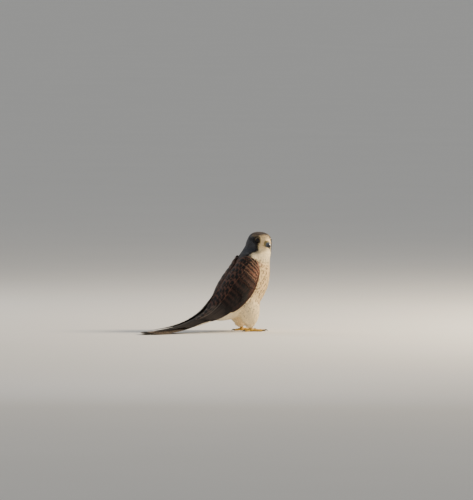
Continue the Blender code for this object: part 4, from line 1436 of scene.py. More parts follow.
    @staticmethod
    def fitted(
        base: np.ndarray, aim: np.ndarray, length: np.ndarray, half: np.ndarray, at: np.ndarray
    ) -> tuple[np.ndarray, np.ndarray]:
        """Shortens the face's feathers and any that would reach over an eye.

        Args:
            base: Roots.
            aim: Directions.
            length: Lengths in mm.
            half: Half widths in mm.
            at: Ring numbers.

        Returns:
            Lengths and half widths in mm.
        """
        forward = head_spot(base)[0]
        short = 1.0 - 0.52 * smooth(2.0, 17.0, forward) * smooth(9.8, 10.8, at)
        length, half = length * short, half * (0.35 + 0.65 * short)
        for side in (-1.0, 1.0):
            axis = eye_axis(side)
            gap = (base - eye_centre(side)) / MM
            ahead = (gap @ axis) > 0
            flat = gap - (gap @ axis)[:, None] * axis
            way = aim - (aim @ axis)[:, None] * axis
            b, c = (flat * way).sum(-1), (flat * flat).sum(-1) - 5.2**2
            inner = b * b - c
            reach = np.where((inner > 0) & (b < 0), -b - np.sqrt(np.maximum(inner, 0)), 99.0)
            fit = np.where(ahead, np.clip(reach, 0.9, 99.0), 99.0)
            half = np.where(fit < length, np.maximum(half * fit / length, 0.35), half)
            length = np.minimum(length, fit)
        return length, half

    def wing_height(self, points: np.ndarray, outs: np.ndarray) -> np.ndarray:
        """Returns how far over places on the body a wing's outer side lies, in mm, 0 if none."""
        high = 14.0 * MM
        found = []
        for spot, out in zip(points.reshape(-1, 3), outs.reshape(-1, 3)):
            hits = [struck(tree, spot + out * high, -out, high) for tree in self.wings]
            depth = [high - hit + 1.0 * MM for hit in hits if hit is not None]
            found.append(max(depth, default=0.0) / MM)
        return np.array(found).reshape(points.shape[:-1])

    def in_sight(self, base: np.ndarray, tips: np.ndarray, out: np.ndarray) -> np.ndarray:
        """Says which feathers aren't wholly under a wing."""
        under = self.hidden_under
        return np.array(
            [
                any(all(struck(tree, spot, way, under) is None for tree in self.wings) for spot in ends)
                for *ends, way in zip(base, tips, out)
            ]
        )


# ---------------------------------------------------------------- wings and tail

# Right wing, shoulder to tip: lower edge, upper edge, how far it swells.
WING_ROWS = MM * np.array(
    [
        (6.0, -28.0, 125.0, 6.0, -23.0, 130.0, 0.4), (5.0, -36.5, 111.0, -3.0, -13.0, 128.5, 3.0),
        (-1.5, -40.5, 92.0, -16.0, -7.5, 117.5, 6.0), (-13.0, -42.5, 71.0, -32.0, -5.5, 102.5, 8.0),
        (-35.0, -40.5, 48.0, -48.5, -5.0, 83.0, 7.5), (-60.0, -34.5, 31.5, -67.5, -5.0, 60.0, 5.0),
        (-88.0, -27.5, 20.0, -89.0, -5.5, 38.0, 3.0), (-120.0, -20.5, 12.5, -119.0, -6.0, 22.5, 1.6),
        (-156.0, -15.5, 8.5, -155.0, -6.0, 12.5, 0.6), (-196.0, -12.5, 5.6, -196.5, -6.5, 6.8, 0.1),
    ]
)
WING_RIDE = 2.3 * MM  # a wing's surface over the body
VANE_KEEP = 1.0 * MM  # any point of a vane over the body
TAIL_ARCH = 1.3 * MM
TAIL_HALF = 20.0 * MM
TAIL_STEP = 0.86 * MM  # from a pair of tail feathers to the next one under it
RUMP_HALF = 15.0 * MM
RUMP_ARCH = 3.0 * MM
# The rump's top line, from the lower back to the tail, as x and z.
RUMP_LINE = MM * np.array(
    [
        (-57.0, 69.0), (-62.0, 58.5), (-68.5, 48.0), (-76.5, 39.0), (-86.0, 32.2), (-96.0, 27.0),
        (-105.6, 22.7), (-115.7, 18.9), (-126.0, 15.6),
    ]
)


def pushed_clear(trees: list[BVHTree], points: np.ndarray, keep: float) -> np.ndarray:
    """Moves points outward where they are nearer to a surface than keep.

    Args:
        trees: The surfaces.
        points: Points, in an array of any shape by three.
        keep: The least distance.

    Returns:
        The moved points.
    """
    flat = points.reshape(-1, 3).copy()
    for tree in trees:
        for i, spot in enumerate(flat):
            near, normal, _, _ = tree.find_nearest(Vector(spot))
            height = (Vector(spot) - near).dot(normal)
            if height < keep:
                flat[i] = spot + np.array(normal) * (keep - height)
    return flat.reshape(points.shape)


def wing_base(at: np.ndarray, across: np.ndarray) -> tuple[np.ndarray, np.ndarray]:
    """Finds points of the right wing's surface before it is kept clear of the body.

    Args:
        at: Rows of WING_ROWS.
        across: Shares of the way from the lower to the upper edge.

    Returns:
        The points and the ways out of the surface.
    """

    def plain(a: np.ndarray, b: np.ndarray) -> np.ndarray:
        """Returns the point between the two edges."""
        row = along(WING_ROWS, a)
        return row[..., :3] + (row[..., 3:6] - row[..., :3]) * b[..., None]

    chord = plain(at, across * 0 + 1.0) - plain(at, across * 0)
    out = unit(np.cross(chord, plain(at + 0.1, across) - plain(at - 0.1, across)))
    inside = np.clip(across, 0.0, 1.0)
    bell = 4 * inside * (1 - inside) - 1.5 * np.abs(across - inside)
    swell = along(WING_ROWS, at)[..., 6] * bell
    return plain(at, across) + out * swell[..., None], out


def tail_base(at: np.ndarray, across: np.ndarray) -> tuple[np.ndarray, np.ndarray]:
    """Finds points of the tail's upper surface and the ways out of it.

    Args:
        at: Ring numbers of the tail.
        across: Shares of its half width, to the left.

    Returns:
        The points and the ways out.
    """
    centre, _, down, left, sizes = ring_frames(TAIL_RINGS, at)
    top = centre - down * (sizes[..., 1] - TAIL_ARCH * across * across)[..., None]
    return top + left * (TAIL_HALF * across)[..., None], -down


def rump_base(at: np.ndarray, across: np.ndarray) -> tuple[np.ndarray, np.ndarray]:
    """Finds points of the roof that the rump's feathers make between the wings.

    Args:
        at: Rows of RUMP_LINE, from the back to the tail.
        across: Shares of the roof's half width, to the left.

    Returns:
        The points and the ways out.
    """
    ahead, behind = along(RUMP_LINE, at - 0.1), along(RUMP_LINE, at + 0.1)
    run = unit(behind - ahead)
    zero = np.zeros(run.shape[:-1])
    out = np.stack([run[..., 1], zero, -run[..., 0]], axis=-1)
    line = along(RUMP_LINE, at)
    top = np.stack([line[..., 0], RUMP_HALF * across, line[..., 1]], axis=-1)
    return top - out * (RUMP_ARCH * across * across)[..., None], out


@dataclass
class Cloth:
    """The surface that the feathers of a wing or tail lie on."""

    base: Callable[[np.ndarray, np.ndarray], tuple[np.ndarray, np.ndarray]]
    trees: list[BVHTree]
    ride: float
    keep: float

    def spots(self, at: np.ndarray, across: np.ndarray) -> tuple[np.ndarray, np.ndarray]:
        """Returns points over places on the surface and the ways out there."""
        points, out = self.base(at, across)
        return pushed_clear(self.trees, points, self.ride), out

    def raised(
        self, at: np.ndarray, across: np.ndarray, offset: np.ndarray, lift: np.ndarray
    ) -> tuple[np.ndarray, np.ndarray]:
        """Finds points to the side of places and over the surface.

        Args:
            at: Rows of the places.
            across: Their shares across.
            offset: Distances to the side.
            lift: Heights over the surface.

        Returns:
            The points and the ways out.
        """
        here, _ = self.base(at, across)
        there, _ = self.base(at, across + 0.05)
        rate = np.maximum(np.linalg.norm(there - here, axis=-1) / 0.05, 1.0 * MM)
        moved = across + np.clip(offset / rate, -0.75, 0.75)
        spots, out = self.spots(at, moved)
        points = pushed_clear(self.trees, spots + out * lift[..., None], self.keep)
        points[..., 2] = np.maximum(points[..., 2], 0.35 * MM)
        return points, out


@dataclass(frozen=True)
class Look:
    """Colours and marks of one tier of wing or tail feathers; lengths in mm."""

    ground: str
    mark: str
    fringe: str
    bar: float = 0.0
    streak: float = 0.0
    rim: float = 0.0
    bars: tuple[float, float, float] = (5.0, 1.4, 1.5)
    cap: tuple[float, float, float] = (*NO_BAND, 0.8)
    spacing: float = 9.0
    inner: str | None = None  # ground colour of the tier's last feather, if it changes
    turn: float = 2.2  # over 1 the change comes late in the tier
    uneven: float = 0.55  # how far the first bar strays from its place


@dataclass(frozen=True)
class Tier:
    """One tier of the right wing's feathers, from the first to the last of them.

    Places are rows of WING_ROWS and shares of the way from the lower to the upper edge.
    Lengths are in mm, the roll in degrees.
    """

    name: str
    count: int
    root_at: tuple[float, float]
    tip_at: tuple[float, float]
    root_across: tuple[float, float]
    tip_across: tuple[float, float]
    half: float
    lift: tuple[float, float]
    gain: float
    roll: float
    look: Look
    webs: tuple[float, float] = (1.0, 1.0)
    cut: Cut = Cut(columns=7, stations=12, thickness=0.22 * MM, camber=0.3 * MM, blunt=0.6)
    bend: float = 1.0  # over 1 the tips step back slowly at first
    first: float = 1.0  # width of the first feather as a share of the last one's


FLIGHT = Look(HUES.flight, HUES.bar, HUES.flight_edge, rim=0.6, cap=(*NO_BAND, 0.4))
SECONDARY = Look(HUES.covert_dark_and_shade, HUES.bar, HUES.tertial_edge, bar=0.5, rim=0.6, cap=(*NO_BAND, 0.5))
TERTIAL = Look(
    HUES.tertial, HUES.bar, HUES.tertial_edge, bar=1.0, rim=0.75,
    bars=(6.5, 2.9, 2.5), spacing=11.5,
)
# Greater and median coverts: a dark ground with faint bars that is largely painted shade over the middle of
# the wing.
GREATER = Look(
    HUES.covert_dark_and_shade, HUES.bar, HUES.covert, bar=0.95, rim=0.5, bars=(6.0, 2.7, 2.0), spacing=10.0,
    inner=HUES.mantle,
)
MEDIAN = Look(
    HUES.covert_dark_and_shade, HUES.bar, HUES.covert, bar=0.95, rim=0.6, bars=(5.0, 2.5, 2.2), spacing=10.0,
    inner=HUES.mantle,
)
LESSER = Look(
    HUES.lesser, HUES.bar, HUES.fringe, bar=0.9, rim=0.6, bars=(3.3, 1.3, 1.6), spacing=14.0,
    inner=HUES.covert, turn=0.55,
)
LESSER_LOW = Look(
    HUES.covert, HUES.bar, HUES.mantle_warm, bar=0.9, rim=0.6, bars=(3.4, 1.5, 1.6), spacing=14.0,
    inner=HUES.covert_dark_and_shade,
)
EDGE = Look(
    HUES.lesser, HUES.bar, HUES.covert, bar=0.6, rim=0.5, bars=(3.3, 0.8, 1.0), spacing=14.0,
    inner=HUES.covert_dark_and_shade, turn=0.5,
)
SCAPULAR = Look(
    HUES.mantle, HUES.bar, HUES.mantle_warm, bar=1.0, rim=0.7, bars=(5.6, 3.2, 2.6), spacing=10.4
)

VENT = Look(HUES.vent, HUES.bar, HUES.fringe, bars=(4.6, 1.0, 1.4), cap=(*NO_BAND, 0.7), uneven=0.0)

SMALL = Cut(5, 8, 0.13 * MM, 0.28 * MM, 0.5)
VANE = Cut(7, 12, 0.15 * MM, 0.3 * MM, 0.6)
WING_TIERS = (
    Tier("primaries", 9, (5.0, 4.8), (9.0, 6.8), (0.10, 0.52), (0.36, 0.92), 6.2, (-0.6, 0.0), 0.14, 3.0,
         FLIGHT, (0.45, 1.0), Cut(7, 16, 0.18 * MM, 0.3 * MM, 0.72, 0.7), 1.1),
    Tier("secondaries", 9, (4.0, 4.2), (6.05, 6.5), (0.10, 0.66), (0.07, 0.70), 6.8, (-0.6, 1.2), 0.0, 6.5,
         SECONDARY, (0.8, 1.0), VANE),
    Tier("tertials", 4, (4.0, 4.1), (6.75, 5.9), (0.70, 0.93), (0.70, 0.95), 8.2, (-0.6, 1.7), 0.3, 2.5,
         TERTIAL, (1.0, 0.9), Cut(9, 14, 0.18 * MM, 0.45 * MM, 0.62, 0.6)),
    Tier("primary_coverts", 5, (3.2, 3.3), (5.1, 4.95), (0.05, 0.22), (0.05, 0.22), 4.6, (-0.6, 1.4), 0.1,
         3.5, FLIGHT, (0.6, 1.0), VANE),
    Tier("alula_feathers", 3, (2.5, 2.6), (4.1, 3.7), (0.03, 0.12), (0.02, 0.12), 4.2, (-0.4, 1.9), 0.22, 2.5,
         FLIGHT, (0.6, 1.0), VANE),
    Tier("greater_coverts", 9, (3.2, 3.4), (4.75, 4.95), (0.12, 0.76), (0.12, 0.78), 6.3, (-0.6, 1.8), 0.0,
         4.0, GREATER, cut=VANE),
    Tier("median_coverts", 9, (2.3, 2.5), (3.6, 3.75), (0.11, 0.78), (0.11, 0.80), 6.0, (-0.5, 1.9), 0.0,
         4.0, MEDIAN, cut=SMALL),
    *(
        Tier(f"lesser_coverts_{i}", 13, (tip - 0.9, tip - 0.85), (tip, tip + 0.1), (0.06, 0.86),
             (0.06, 0.87), 3.7, (-0.4, 1.9 - 0.1 * i), 0.0, 3.5, LESSER if tip < 2.3 else LESSER_LOW,
             cut=SMALL)
        for i, tip in enumerate((2.9, 2.5, 2.12, 1.76, 1.42, 1.1, 0.8))
    ),
    *(
        Tier(f"edge_coverts_{i}", 16, (0.15 - 0.1 * i, 4.0), (0.75 - 0.1 * i, 4.7), (across, across),
             (across + 0.01, across + 0.02), 2.5, (-0.2, 1.1 + 0.35 * i), 0.03, 2.0, EDGE, cut=SMALL)
        for i, across in enumerate((-0.01, 0.045))
    ),
    *(
        Tier(f"scapulars_{i}", 9, (0.45, 3.2 + 0.3 * i), (1.35, 5.2 + 0.25 * i), (across, across),
             (across - 0.06, across - 0.05), 6.8, (-0.6, 1.9 + 0.25 * i), 0.05, 2.0, SCAPULAR,
             cut=Cut(7, 10, 0.15 * MM, 0.4 * MM, 0.5), first=0.55)
        for i, across in enumerate((0.76, 0.90, 1.03))
    ),
)


def vane_grids(
    cloth: Cloth,
    roots: np.ndarray,
    tips: np.ndarray,
    half: np.ndarray,
    lifts: np.ndarray,
    roll_deg: float,
    webs: np.ndarray,
    cut: Cut,
) -> tuple[np.ndarray, np.ndarray, np.ndarray]:
    """Lays feathers over a cloth.

    Args:
        cloth: The surface.
        roots: Place of each root, as row and share across.
        tips: Place of each tip.
        half: Half width of each, in mm.
        lifts: Height at root and tip of each, in mm.
        roll_deg: How far each is tilted about its shaft.
        webs: Width of the two webs of each, as shares.
        cut: How finely they are cut.

    Returns:
        Upper points, the ways out there, and each feather's length in mm.
    """
    across, share = cut.grid()
    places = roots[:, None] + (tips - roots)[:, None] * share[None, :, None]
    web = np.where(across < 0, webs[:, :1], webs[:, 1:])
    offset = half[:, None, None] * cut.width(share)[None, :, None] * across * web[:, None, :] * MM
    rise = between((lifts[:, :1], lifts[:, 1:]), np.minimum(1.0, share / 0.8) ** 0.9)
    height = rise[:, :, None] * MM - math.tan(math.radians(roll_deg)) * offset
    height = height + cut.camber * (1 - across**2)
    at = np.broadcast_to(places[..., :1], offset.shape)
    side = np.broadcast_to(places[..., 1:], offset.shape)
    tops, outs = cloth.raised(at, side, offset, height)
    middle = tops[:, :, tops.shape[2] // 2]
    return tops, outs, np.linalg.norm(np.diff(middle, axis=1), axis=-1).sum(1) / MM


def look_marks(look: Look, share: np.ndarray, seed: int) -> Marks:
    """Spreads a tier's look over its feathers.

    Args:
        look: The tier's look.
        share: Each feather's place in the tier, 0 to 1.
        seed: Seeds the small differences.

    Returns:
        The marks of each feather.
    """
    count = len(share)
    rng = np.random.default_rng(seed)
    ground = mix(linear(look.ground)[None], linear(look.inner or look.ground)[None], share**look.turn)
    one = np.ones((count, 1))
    bars = np.array(look.bars) * one
    bars[:, 0] += rng.normal(0.0, look.uneven, count)
    return Marks(
        ground=ground,
        mark=linear(look.mark) * one,
        fringe=linear(look.fringe) * one,
        marks=np.array([look.bar, look.streak, look.rim]) * one,
        bars=bars,
        cap=np.array(look.cap) * one,
        spacing=np.full(count, look.spacing),
    )


@dataclass
class Wing:
    """A folded wing: its tiers of vanes over a thin bed."""

    side: Side
    cloth: Cloth
    finish: bpy.types.Material
    bed_finish: bpy.types.Material
    bed_end: float = 6.6
    bed_depth: float = 1.0 * MM

    def build(self) -> None:
        """Makes the bed and every tier."""
        self.bed()
        groups: dict[str, list[Tier]] = {}
        for tier in WING_TIERS:
            groups.setdefault(tier.name.rstrip("_0123456789"), []).append(tier)
        for number, (name, tiers) in enumerate(groups.items()):
            for k, tier in enumerate(tiers):
                ending = f"_{k + 1}" if len(tiers) > 1 else ""
                self.tier(tier, f"{name}{ending}_{self.side.word}", number * 10 + k)

    def tier(self, tier: Tier, name: str, number: int) -> bpy.types.Object:
        """Makes one tier's feathers.

        Args:
            tier: The tier.
            name: The piece's name.
            number: The tier's number, for its seed and its place on the map.

        Returns:
            The piece.
        """
        share = np.linspace(0.0, 1.0, tier.count)
        rng = np.random.default_rng(500 + number)
        roots = np.column_stack([between(tier.root_at, share), between(tier.root_across, share)])
        tips = np.column_stack([between(tier.tip_at, share**tier.bend), between(tier.tip_across, share)])
        tips += rng.normal(0.0, 1.0, tips.shape) * (0.02, 0.006)
        lifts = np.array(tier.lift) + (tier.gain * np.arange(tier.count))[:, None]
        half = tier.half * between((tier.first, 1.0), share) * rng.uniform(0.95, 1.05, tier.count)
        webs = np.tile(tier.webs, (tier.count, 1))
        webs[0, 0] *= 0.6
        tops, outs, length = vane_grids(self.cloth, roots, tips, half, lifts, tier.roll, webs, tier.cut)
        if self.side is Side.LEFT:
            tops, outs = flipped(tops, outs)
        row = np.full(tier.count, (number % 16) / 16.0 + 0.004)
        nest = np.column_stack([(np.arange(tier.count) + 0.1) / 16.0, row])
        made = feather_mesh(
            name, tops, outs, tier.cut, look_marks(tier.look, share, 700 + number),
            np.column_stack([length, half]), nest, (0.05, 0.055), 900 + number,
        )
        return placed(made, self.finish, "feather_flight", f"wing_{self.side.word}")

    def bed(self) -> None:
        """Makes the thin closed form under the vanes."""
        at, across = crossed(np.linspace(0.05, self.bed_end, 60), np.linspace(0.0, 1.0, 16))
        low_edge = 0.08 + 0.34 * smooth(3.8, self.bed_end, at)
        across = low_edge + (0.94 - low_edge) * across
        high, out = self.cloth.spots(at, across)
        thin = 0.25 + 0.75 * (4 * across * (1 - across)) ** 0.5
        high = high - out * 0.7 * MM
        low = pushed_clear(self.cloth.trees, high - out * (self.bed_depth * thin)[..., None], 0.3 * MM)
        points, faces = closed_rings(np.concatenate([high, low[:, ::-1]], axis=1))
        look = look_marks(SECONDARY, np.zeros(len(points)), 1)
        points = mirrored(points) if self.side is Side.LEFT else points
        facts = {label: getattr(look, label) for label in ("ground", "mark", "marks")}
        made = outward(mesh_piece(f"wing_bed_{self.side.word}", points, faces, facts=facts))
        placed(made, self.bed_finish, "feather_flight", f"wing_{self.side.word}")


@dataclass
class Tail:
    """The closed tail: twelve feathers in a low stack, the middle pair on top."""

    finish: bpy.types.Material
    pairs: int = 6
    root_at: float = 6.4
    tip_at: tuple[float, float] = (0.0, 1.4)
    root_off: tuple[float, float] = (1.2, 8.0)
    tip_off: tuple[float, float] = (1.5, 14.0)
    inner: tuple[float, float] = (5.0, 10.0)
    outer: tuple[float, float] = (10.6, 5.8)
    look: Look = Look(
        HUES.tail, HUES.bar, HUES.tail_tip, bar=0.85, rim=0.85, bars=(34.0, 1.25, 0.8),
        cap=(5.0, 24.0, 0.1), spacing=11.0,
    )
    cut: Cut = Cut(9, 18, 0.3 * MM, 0.35 * MM, 0.8, 0.6)

    def build(self) -> bpy.types.Object:
        """Returns the tail's feathers as one piece."""
        cloth = Cloth(tail_base, [], 0.0, 0.0)
        share = np.linspace(0.0, 1.0, self.pairs)
        half_mm = TAIL_HALF / MM
        roots = np.column_stack([np.full(self.pairs, self.root_at), between(self.root_off, share) / half_mm])
        tips = np.column_stack([between(self.tip_at, share), between(self.tip_off, share) / half_mm])
        webs = np.column_stack([between(self.inner, share), between(self.outer, share)])
        half = webs.max(1)
        parts = []
        for side in Side:
            down = -np.arange(self.pairs) * TAIL_STEP / MM
            down[0] += 0.42 if side is Side.RIGHT else 0.0
            top, out, length = vane_grids(
                cloth, roots, tips, half, np.column_stack([down, down]), 0.0, webs / half[:, None], self.cut
            )
            if side is Side.RIGHT:
                top, out = flipped(top, out)
            parts.append((top, out, np.column_stack([length, half])))
        tops, outs, sizes = (np.concatenate(part) for part in zip(*parts))
        count = 2 * self.pairs
        nest = np.column_stack([(np.arange(count) + 0.1) / 12.5, np.full(count, 0.02)])
        marks = look_marks(self.look, np.zeros(count), 31)
        made = feather_mesh(
            "tail_feathers", tops, outs, self.cut, marks, sizes, nest, (0.07, 0.95), 33
        )
        return placed(made, self.finish, "feather_tail", "tail")


RUMP = Look(
    HUES.rump, HUES.bar, HUES.mantle_warm, bar=0.75, rim=0.45, bars=(4.8, 1.2, 1.5),
    cap=(*NO_BAND, 0.6), spacing=8.5,
)
RUMP_CUT = Cut(7, 12, 0.1 * MM, 0.4 * MM, 0.5)
RUMP_TIERS = tuple(
    Tier(f"rump_coverts_{i}", count, (root, root), (root + reach, root + reach), (-0.7, 0.7), (-wide, wide),
         half, (-1.4, lift), 0.0, 0.0, RUMP, cut=RUMP_CUT)
    for i, (count, root, reach, wide, half, lift) in enumerate(
        ((7, 4.0, 3.3, 0.62, 4.6, 0.0), (8, 3.0, 3.0, 0.76, 4.2, 0.45), (8, 2.1, 2.5, 0.8, 4.0, 0.8),
         (8, 1.2, 2.2, 0.76, 3.8, 1.0), (7, 0.4, 2.0, 0.6, 3.6, 1.2))
    )
)


@dataclass
class Rump:
    """The coverts of rump and upper tail, a low roof between the wings."""

    finish: bpy.types.Material
    step: float = 0.16  # from a feather to the next one down, away from the middle, in mm
    map_rows: int = 4

    def build(self) -> bpy.types.Object:
        """Returns the coverts as one piece."""
        cloth = Cloth(rump_base, [], 0.0, 0.0)
        rng = np.random.default_rng(41)
        parts, looks = [], []
        for number, tier in enumerate(RUMP_TIERS):
            share = np.linspace(0.0, 1.0, tier.count)
            mirror = 2 * share - 1
            roots = np.column_stack([np.full(tier.count, tier.root_at[0]), tier.root_across[1] * mirror])
            tips = np.column_stack([tier.tip_at[0] - 0.45 * mirror**2, tier.tip_across[1] * mirror])
            tips += rng.normal(0.0, 1.0, tips.shape) * (0.07, 0.01)
            low = self.step * np.abs(np.arange(tier.count) - (tier.count - 1) / 2 + 0.25)
            half = tier.half * rng.uniform(0.92, 1.08, tier.count)
            tops, outs, length = vane_grids(
                cloth, roots, tips, half, np.array(tier.lift) - low[:, None], 0.0,
                np.ones((tier.count, 2)), tier.cut,
            )
            parts.append((tops, outs, np.column_stack([length, half])))
            looks.append(look_marks(tier.look, share, 42 + number))
        tops, outs, sizes = (np.concatenate(part) for part in zip(*parts))
        marks = Marks(*(np.concatenate(part) for part in zip(*(vars(look).values() for look in looks))))
        columns = -(-len(tops) // self.map_rows)
        row, column = np.divmod(np.arange(len(tops)), columns)
        nest = np.column_stack([(column + 0.1) / columns, (row + 0.05) / self.map_rows])
        patch = (0.8 / columns, 0.9 / self.map_rows)
        made = feather_mesh("rump_coverts", tops, outs, RUMP_CUT, marks, sizes, nest, patch, 43)
        return placed(made, self.finish, "feather_back")


# ---------------------------------------------------------------- head and feet

# From the base to the tip: forward and up of the ridge, of the other edge, and half width, in mm.
UPPER_BILL = np.array(
    [
        (23.4, 2.2, 23.4, -4.7, 4.5), (25.6, 1.6, 25.4, -5.0, 4.1), (27.8, 0.1, 27.0, -5.5, 3.4),
        (29.7, -2.3, 28.5, -6.6, 2.5), (30.9, -5.2, 29.7, -7.0, 1.6), (31.2, -7.8, 30.4, -8.4, 0.8),
        (30.7, -9.8, 30.6, -9.8, 0.12),
    ]
)
CERE = np.array(
    [
        (17.0, 3.4, 17.0, -4.4, 5.2), (19.8, 3.4, 19.8, -4.6, 5.3), (22.0, 2.9, 22.0, -4.7, 5.0),
        (23.1, 2.3, 23.1, -4.7, 4.6), (23.6, 1.7, 23.5, -4.5, 4.0),
    ]
)
LOWER_BILL = np.array(
    [
        (17.0, -4.9, 17.0, -8.0, 3.7), (21.0, -5.1, 21.0, -8.2, 3.7), (24.5, -5.3, 24.7, -8.0, 3.2),
        (26.6, -5.9, 26.9, -7.6, 2.3), (27.9, -6.8, 28.0, -7.5, 1.2), (28.3, -7.1, 28.3, -7.4, 0.3),
    ]
)
GAPE = np.array([(21.2, 4.5, -4.8), (19.6, 5.6, -5.0), (17.8, 7.2, -5.3), (16.2, 8.6, -5.7)]) * MM
NOSTRIL_SPOT = (21.3 * MM, 4.4 * MM, 0.4 * MM)
NOSTRIL_RADIUS = 0.8 * MM
TOE_RADIUS = 2.2 * MM
SCUTE_MM = 1.55
CLAW_LENGTH = 8.5 * MM
CLAW_RADIUS = 1.25 * MM
CLAW_INSET_MM = 0.7
CLAW_BEND = 1.35
CLAW_TIP = 0.55 * MM  # the tip's height over the floor
FOOT_SPOT = np.array([0.0, -17.0, 0.0]) * MM
TOE_START = 2.0 * MM
TARSUS_RADIUS = 2.3 * MM
# The toes' headings, in degrees to the outer side, lengths and thicknesses.
TOES = {
    "middle": (6.0, 25.0 * MM, 1.0),
    "inner": (-28.0, 18.0 * MM, 0.96),
    "outer": (38.0, 18.5 * MM, 0.92),
    "hind": (172.0, 12.5 * MM, 0.94),
}


@dataclass
class Face:
    """Eyes, their rings of skin, cere and bill."""

    flesh: Flesh
    eye_finish: bpy.types.Material
    ring_finish: bpy.types.Material
    skin_finish: bpy.types.Material
    bill_finish: bpy.types.Material
    lower_finish: bpy.types.Material
    front_swell: float = 0.035  # how much fuller the eye's clear front is, as a share
    lid_reach: float = 4.66 * MM  # the ring of skin's middle, from the eye's axis
    lid_rise: float = 3.2 * MM  # and ahead of the eye's middle
    lid_wide: float = 0.46 * MM
    lid_slope: float = math.radians(-32.0)

    def build(self) -> None:
        """Makes every part of the face."""
        for side in Side:
            self.eye(side)
            self.lid(side)
            self.gape(side)
        self.cere()
        upper = self.bill("bill_horn_upper", UPPER_BILL, 1.0, tooth=0.55)
        placed(upper, self.bill_finish, "bill_horn", "bill_upper")
        lower = self.bill("bill_horn_lower", LOWER_BILL, -1.0)
        placed(lower, self.lower_finish, "bill_horn", "bill_lower")

    def eye(self, side: Side) -> None:
        """Makes an eye: a ball with a slightly fuller clear front, its pole on the eye's axis."""
        thing = primitive(
            bpy.ops.mesh.primitive_uv_sphere_add, f"eyeball_{side.word}",
            segments=48, ring_count=32, radius=EYE_RADIUS * 0.985,
        )
        mesh = thing.data
        for vert in mesh.vertices:
            vert.co *= 1.0 + self.front_swell * float(smooth(0.72, 0.95, vert.co.normalized().z))
        layer = mesh.uv_layers[0]
        layer.name = "run"
        for loop in mesh.loops:
            spot = mesh.vertices[loop.vertex_index].co.normalized()
            turn = math.atan2(spot.y, spot.x) / (2 * math.pi)
            layer.uv[loop.index].vector = (abs(turn) * 2, math.acos(max(-1.0, min(1.0, spot.z))) / math.pi)
        seat(thing, eye_axis(side.sign), eye_centre(side.sign) + ORIGIN_SHIFT)
        bpy.ops.object.shade_smooth()
        placed(thing, self.eye_finish, "eye_gloss", f"eye_{side.word}")

    def lid(self, side: Side) -> None:
        """Makes the bare ring of skin round an eye: it hugs the ball and is finely creased."""
        axis = eye_axis(side.sign)
        across = unit(np.cross(HEAD_UP, axis))
        up = np.cross(axis, across)
        t, r = crossed(around(108), around(16))
        out = across * np.cos(t)[..., None] + up * np.sin(t)[..., None]
        crease = 1.0 + 0.10 * np.sin(t * 26) * np.clip(np.sin(r), 0, 1)
        wide, thick = self.lid_wide * np.cos(r), (0.28 + 0.06 * np.sin(t)) * MM * crease * np.sin(r)
        level, steep = math.cos(self.lid_slope), math.sin(self.lid_slope)
        reach = self.lid_reach + wide * level - thick * steep
        rise = self.lid_rise + wide * steep + thick * level
        rings = eye_centre(side.sign) + out * reach[..., None] + axis * rise[..., None]
        number = np.arange(t.size).reshape(t.shape)
        ahead = np.roll(number, -1, axis=0)
        faces = np.stack([number, np.roll(number, -1, axis=1), np.roll(ahead, -1, axis=1), ahead], axis=-1)
        thing = outward(mesh_piece(f"eye_ring_{side.word}", rings.reshape(-1, 3), faces.reshape(-1, 4)))
        placed(thing, self.ring_finish, "yellow_skin", f"eyelid_{side.word}")

    @staticmethod
    def bill(
        name: str, stations: np.ndarray, arch: float, tooth: float = 0.0, sides: int = 32
    ) -> bpy.types.Object:
        """Lofts a bill form, arched up (1) or down (-1) from a nearly flat side.

        Args:
            name: The object's name.
            stations: Forward and up of top and bottom, and half width, in mm.
            arch: 1 where the round side is on top.
            tooth: Depth in mm of the notch tooth near the tip.
            sides: Points round it.

        Returns:
            The new object, with its run from base to tip in a UV map.
        """
        t = np.linspace(0.0, 1.0, 36)
        rows = along(stations, t * (len(stations) - 1))
        turn = 2 * math.pi * (np.arange(sides) + 0.5) / sides
        top = EYE_LEVEL + (rows[:, :1] * HEAD_FORWARD + rows[:, 1:2] * HEAD_UP) * MM
        low = EYE_LEVEL + (rows[:, 2:3] * HEAD_FORWARD + rows[:, 3:4] * HEAD_UP) * MM
        crest, base = (top, low) if arch > 0 else (low, top)
        cosine = np.cos(turn)
        height = np.where(cosine > 0, 0.34 + 0.66 * cosine, 0.34 * (1 - np.abs(cosine) ** 0.45))
        aside = np.sign(np.sin(turn)) * np.abs(np.sin(turn)) ** 0.85
        rings = base[:, None] + (crest - base)[:, None] * height[None, :, None]
        rings = rings + HEAD_LEFT * (np.maximum(rows[:, 4:5], 0.06) * MM * aside)[..., None]
        edge = np.exp(-(((np.abs(aside) - 0.78) / 0.25) ** 2)) * (cosine < 0.2)
        notch = np.exp(-(((t - 0.62) / 0.045) ** 2)) - 0.6 * np.exp(-(((t - 0.74) / 0.05) ** 2))
        rings = rings - HEAD_UP * (tooth * MM * notch[:, None] * edge[None])[..., None]
        return outward(mesh_piece(name, *closed_rings(rings), run_map(t, sides)))

    def gape(self, side: Side) -> None:
        """Makes the thin roll of bare skin at a corner of the mouth."""
        spots = GAPE * (1.0, side.sign, 1.0)
        share = np.linspace(0.0, 1.0, 24)
        path = along(spots, share * (len(spots) - 1))
        path = EYE_LEVEL + path @ np.array([HEAD_FORWARD, HEAD_LEFT, HEAD_UP])
        near, out = self.flesh.onto(path)
        path = mix(path, near - out * 0.12 * MM, smooth(0.0, 0.25, share))
        way = unit(np.gradient(path, axis=0))
        across = unit(np.cross(way, HEAD_UP))
        reach = (0.46 * (1 - share**2) + 0.08)[:, None] * MM
        rings = tube_rings(path, across, np.cross(across, way), around(14), reach, tall=0.8)
        thing = outward(mesh_piece(f"gape_{side.word}", *closed_rings(rings)))
        placed(thing, self.skin_finish, "yellow_skin")

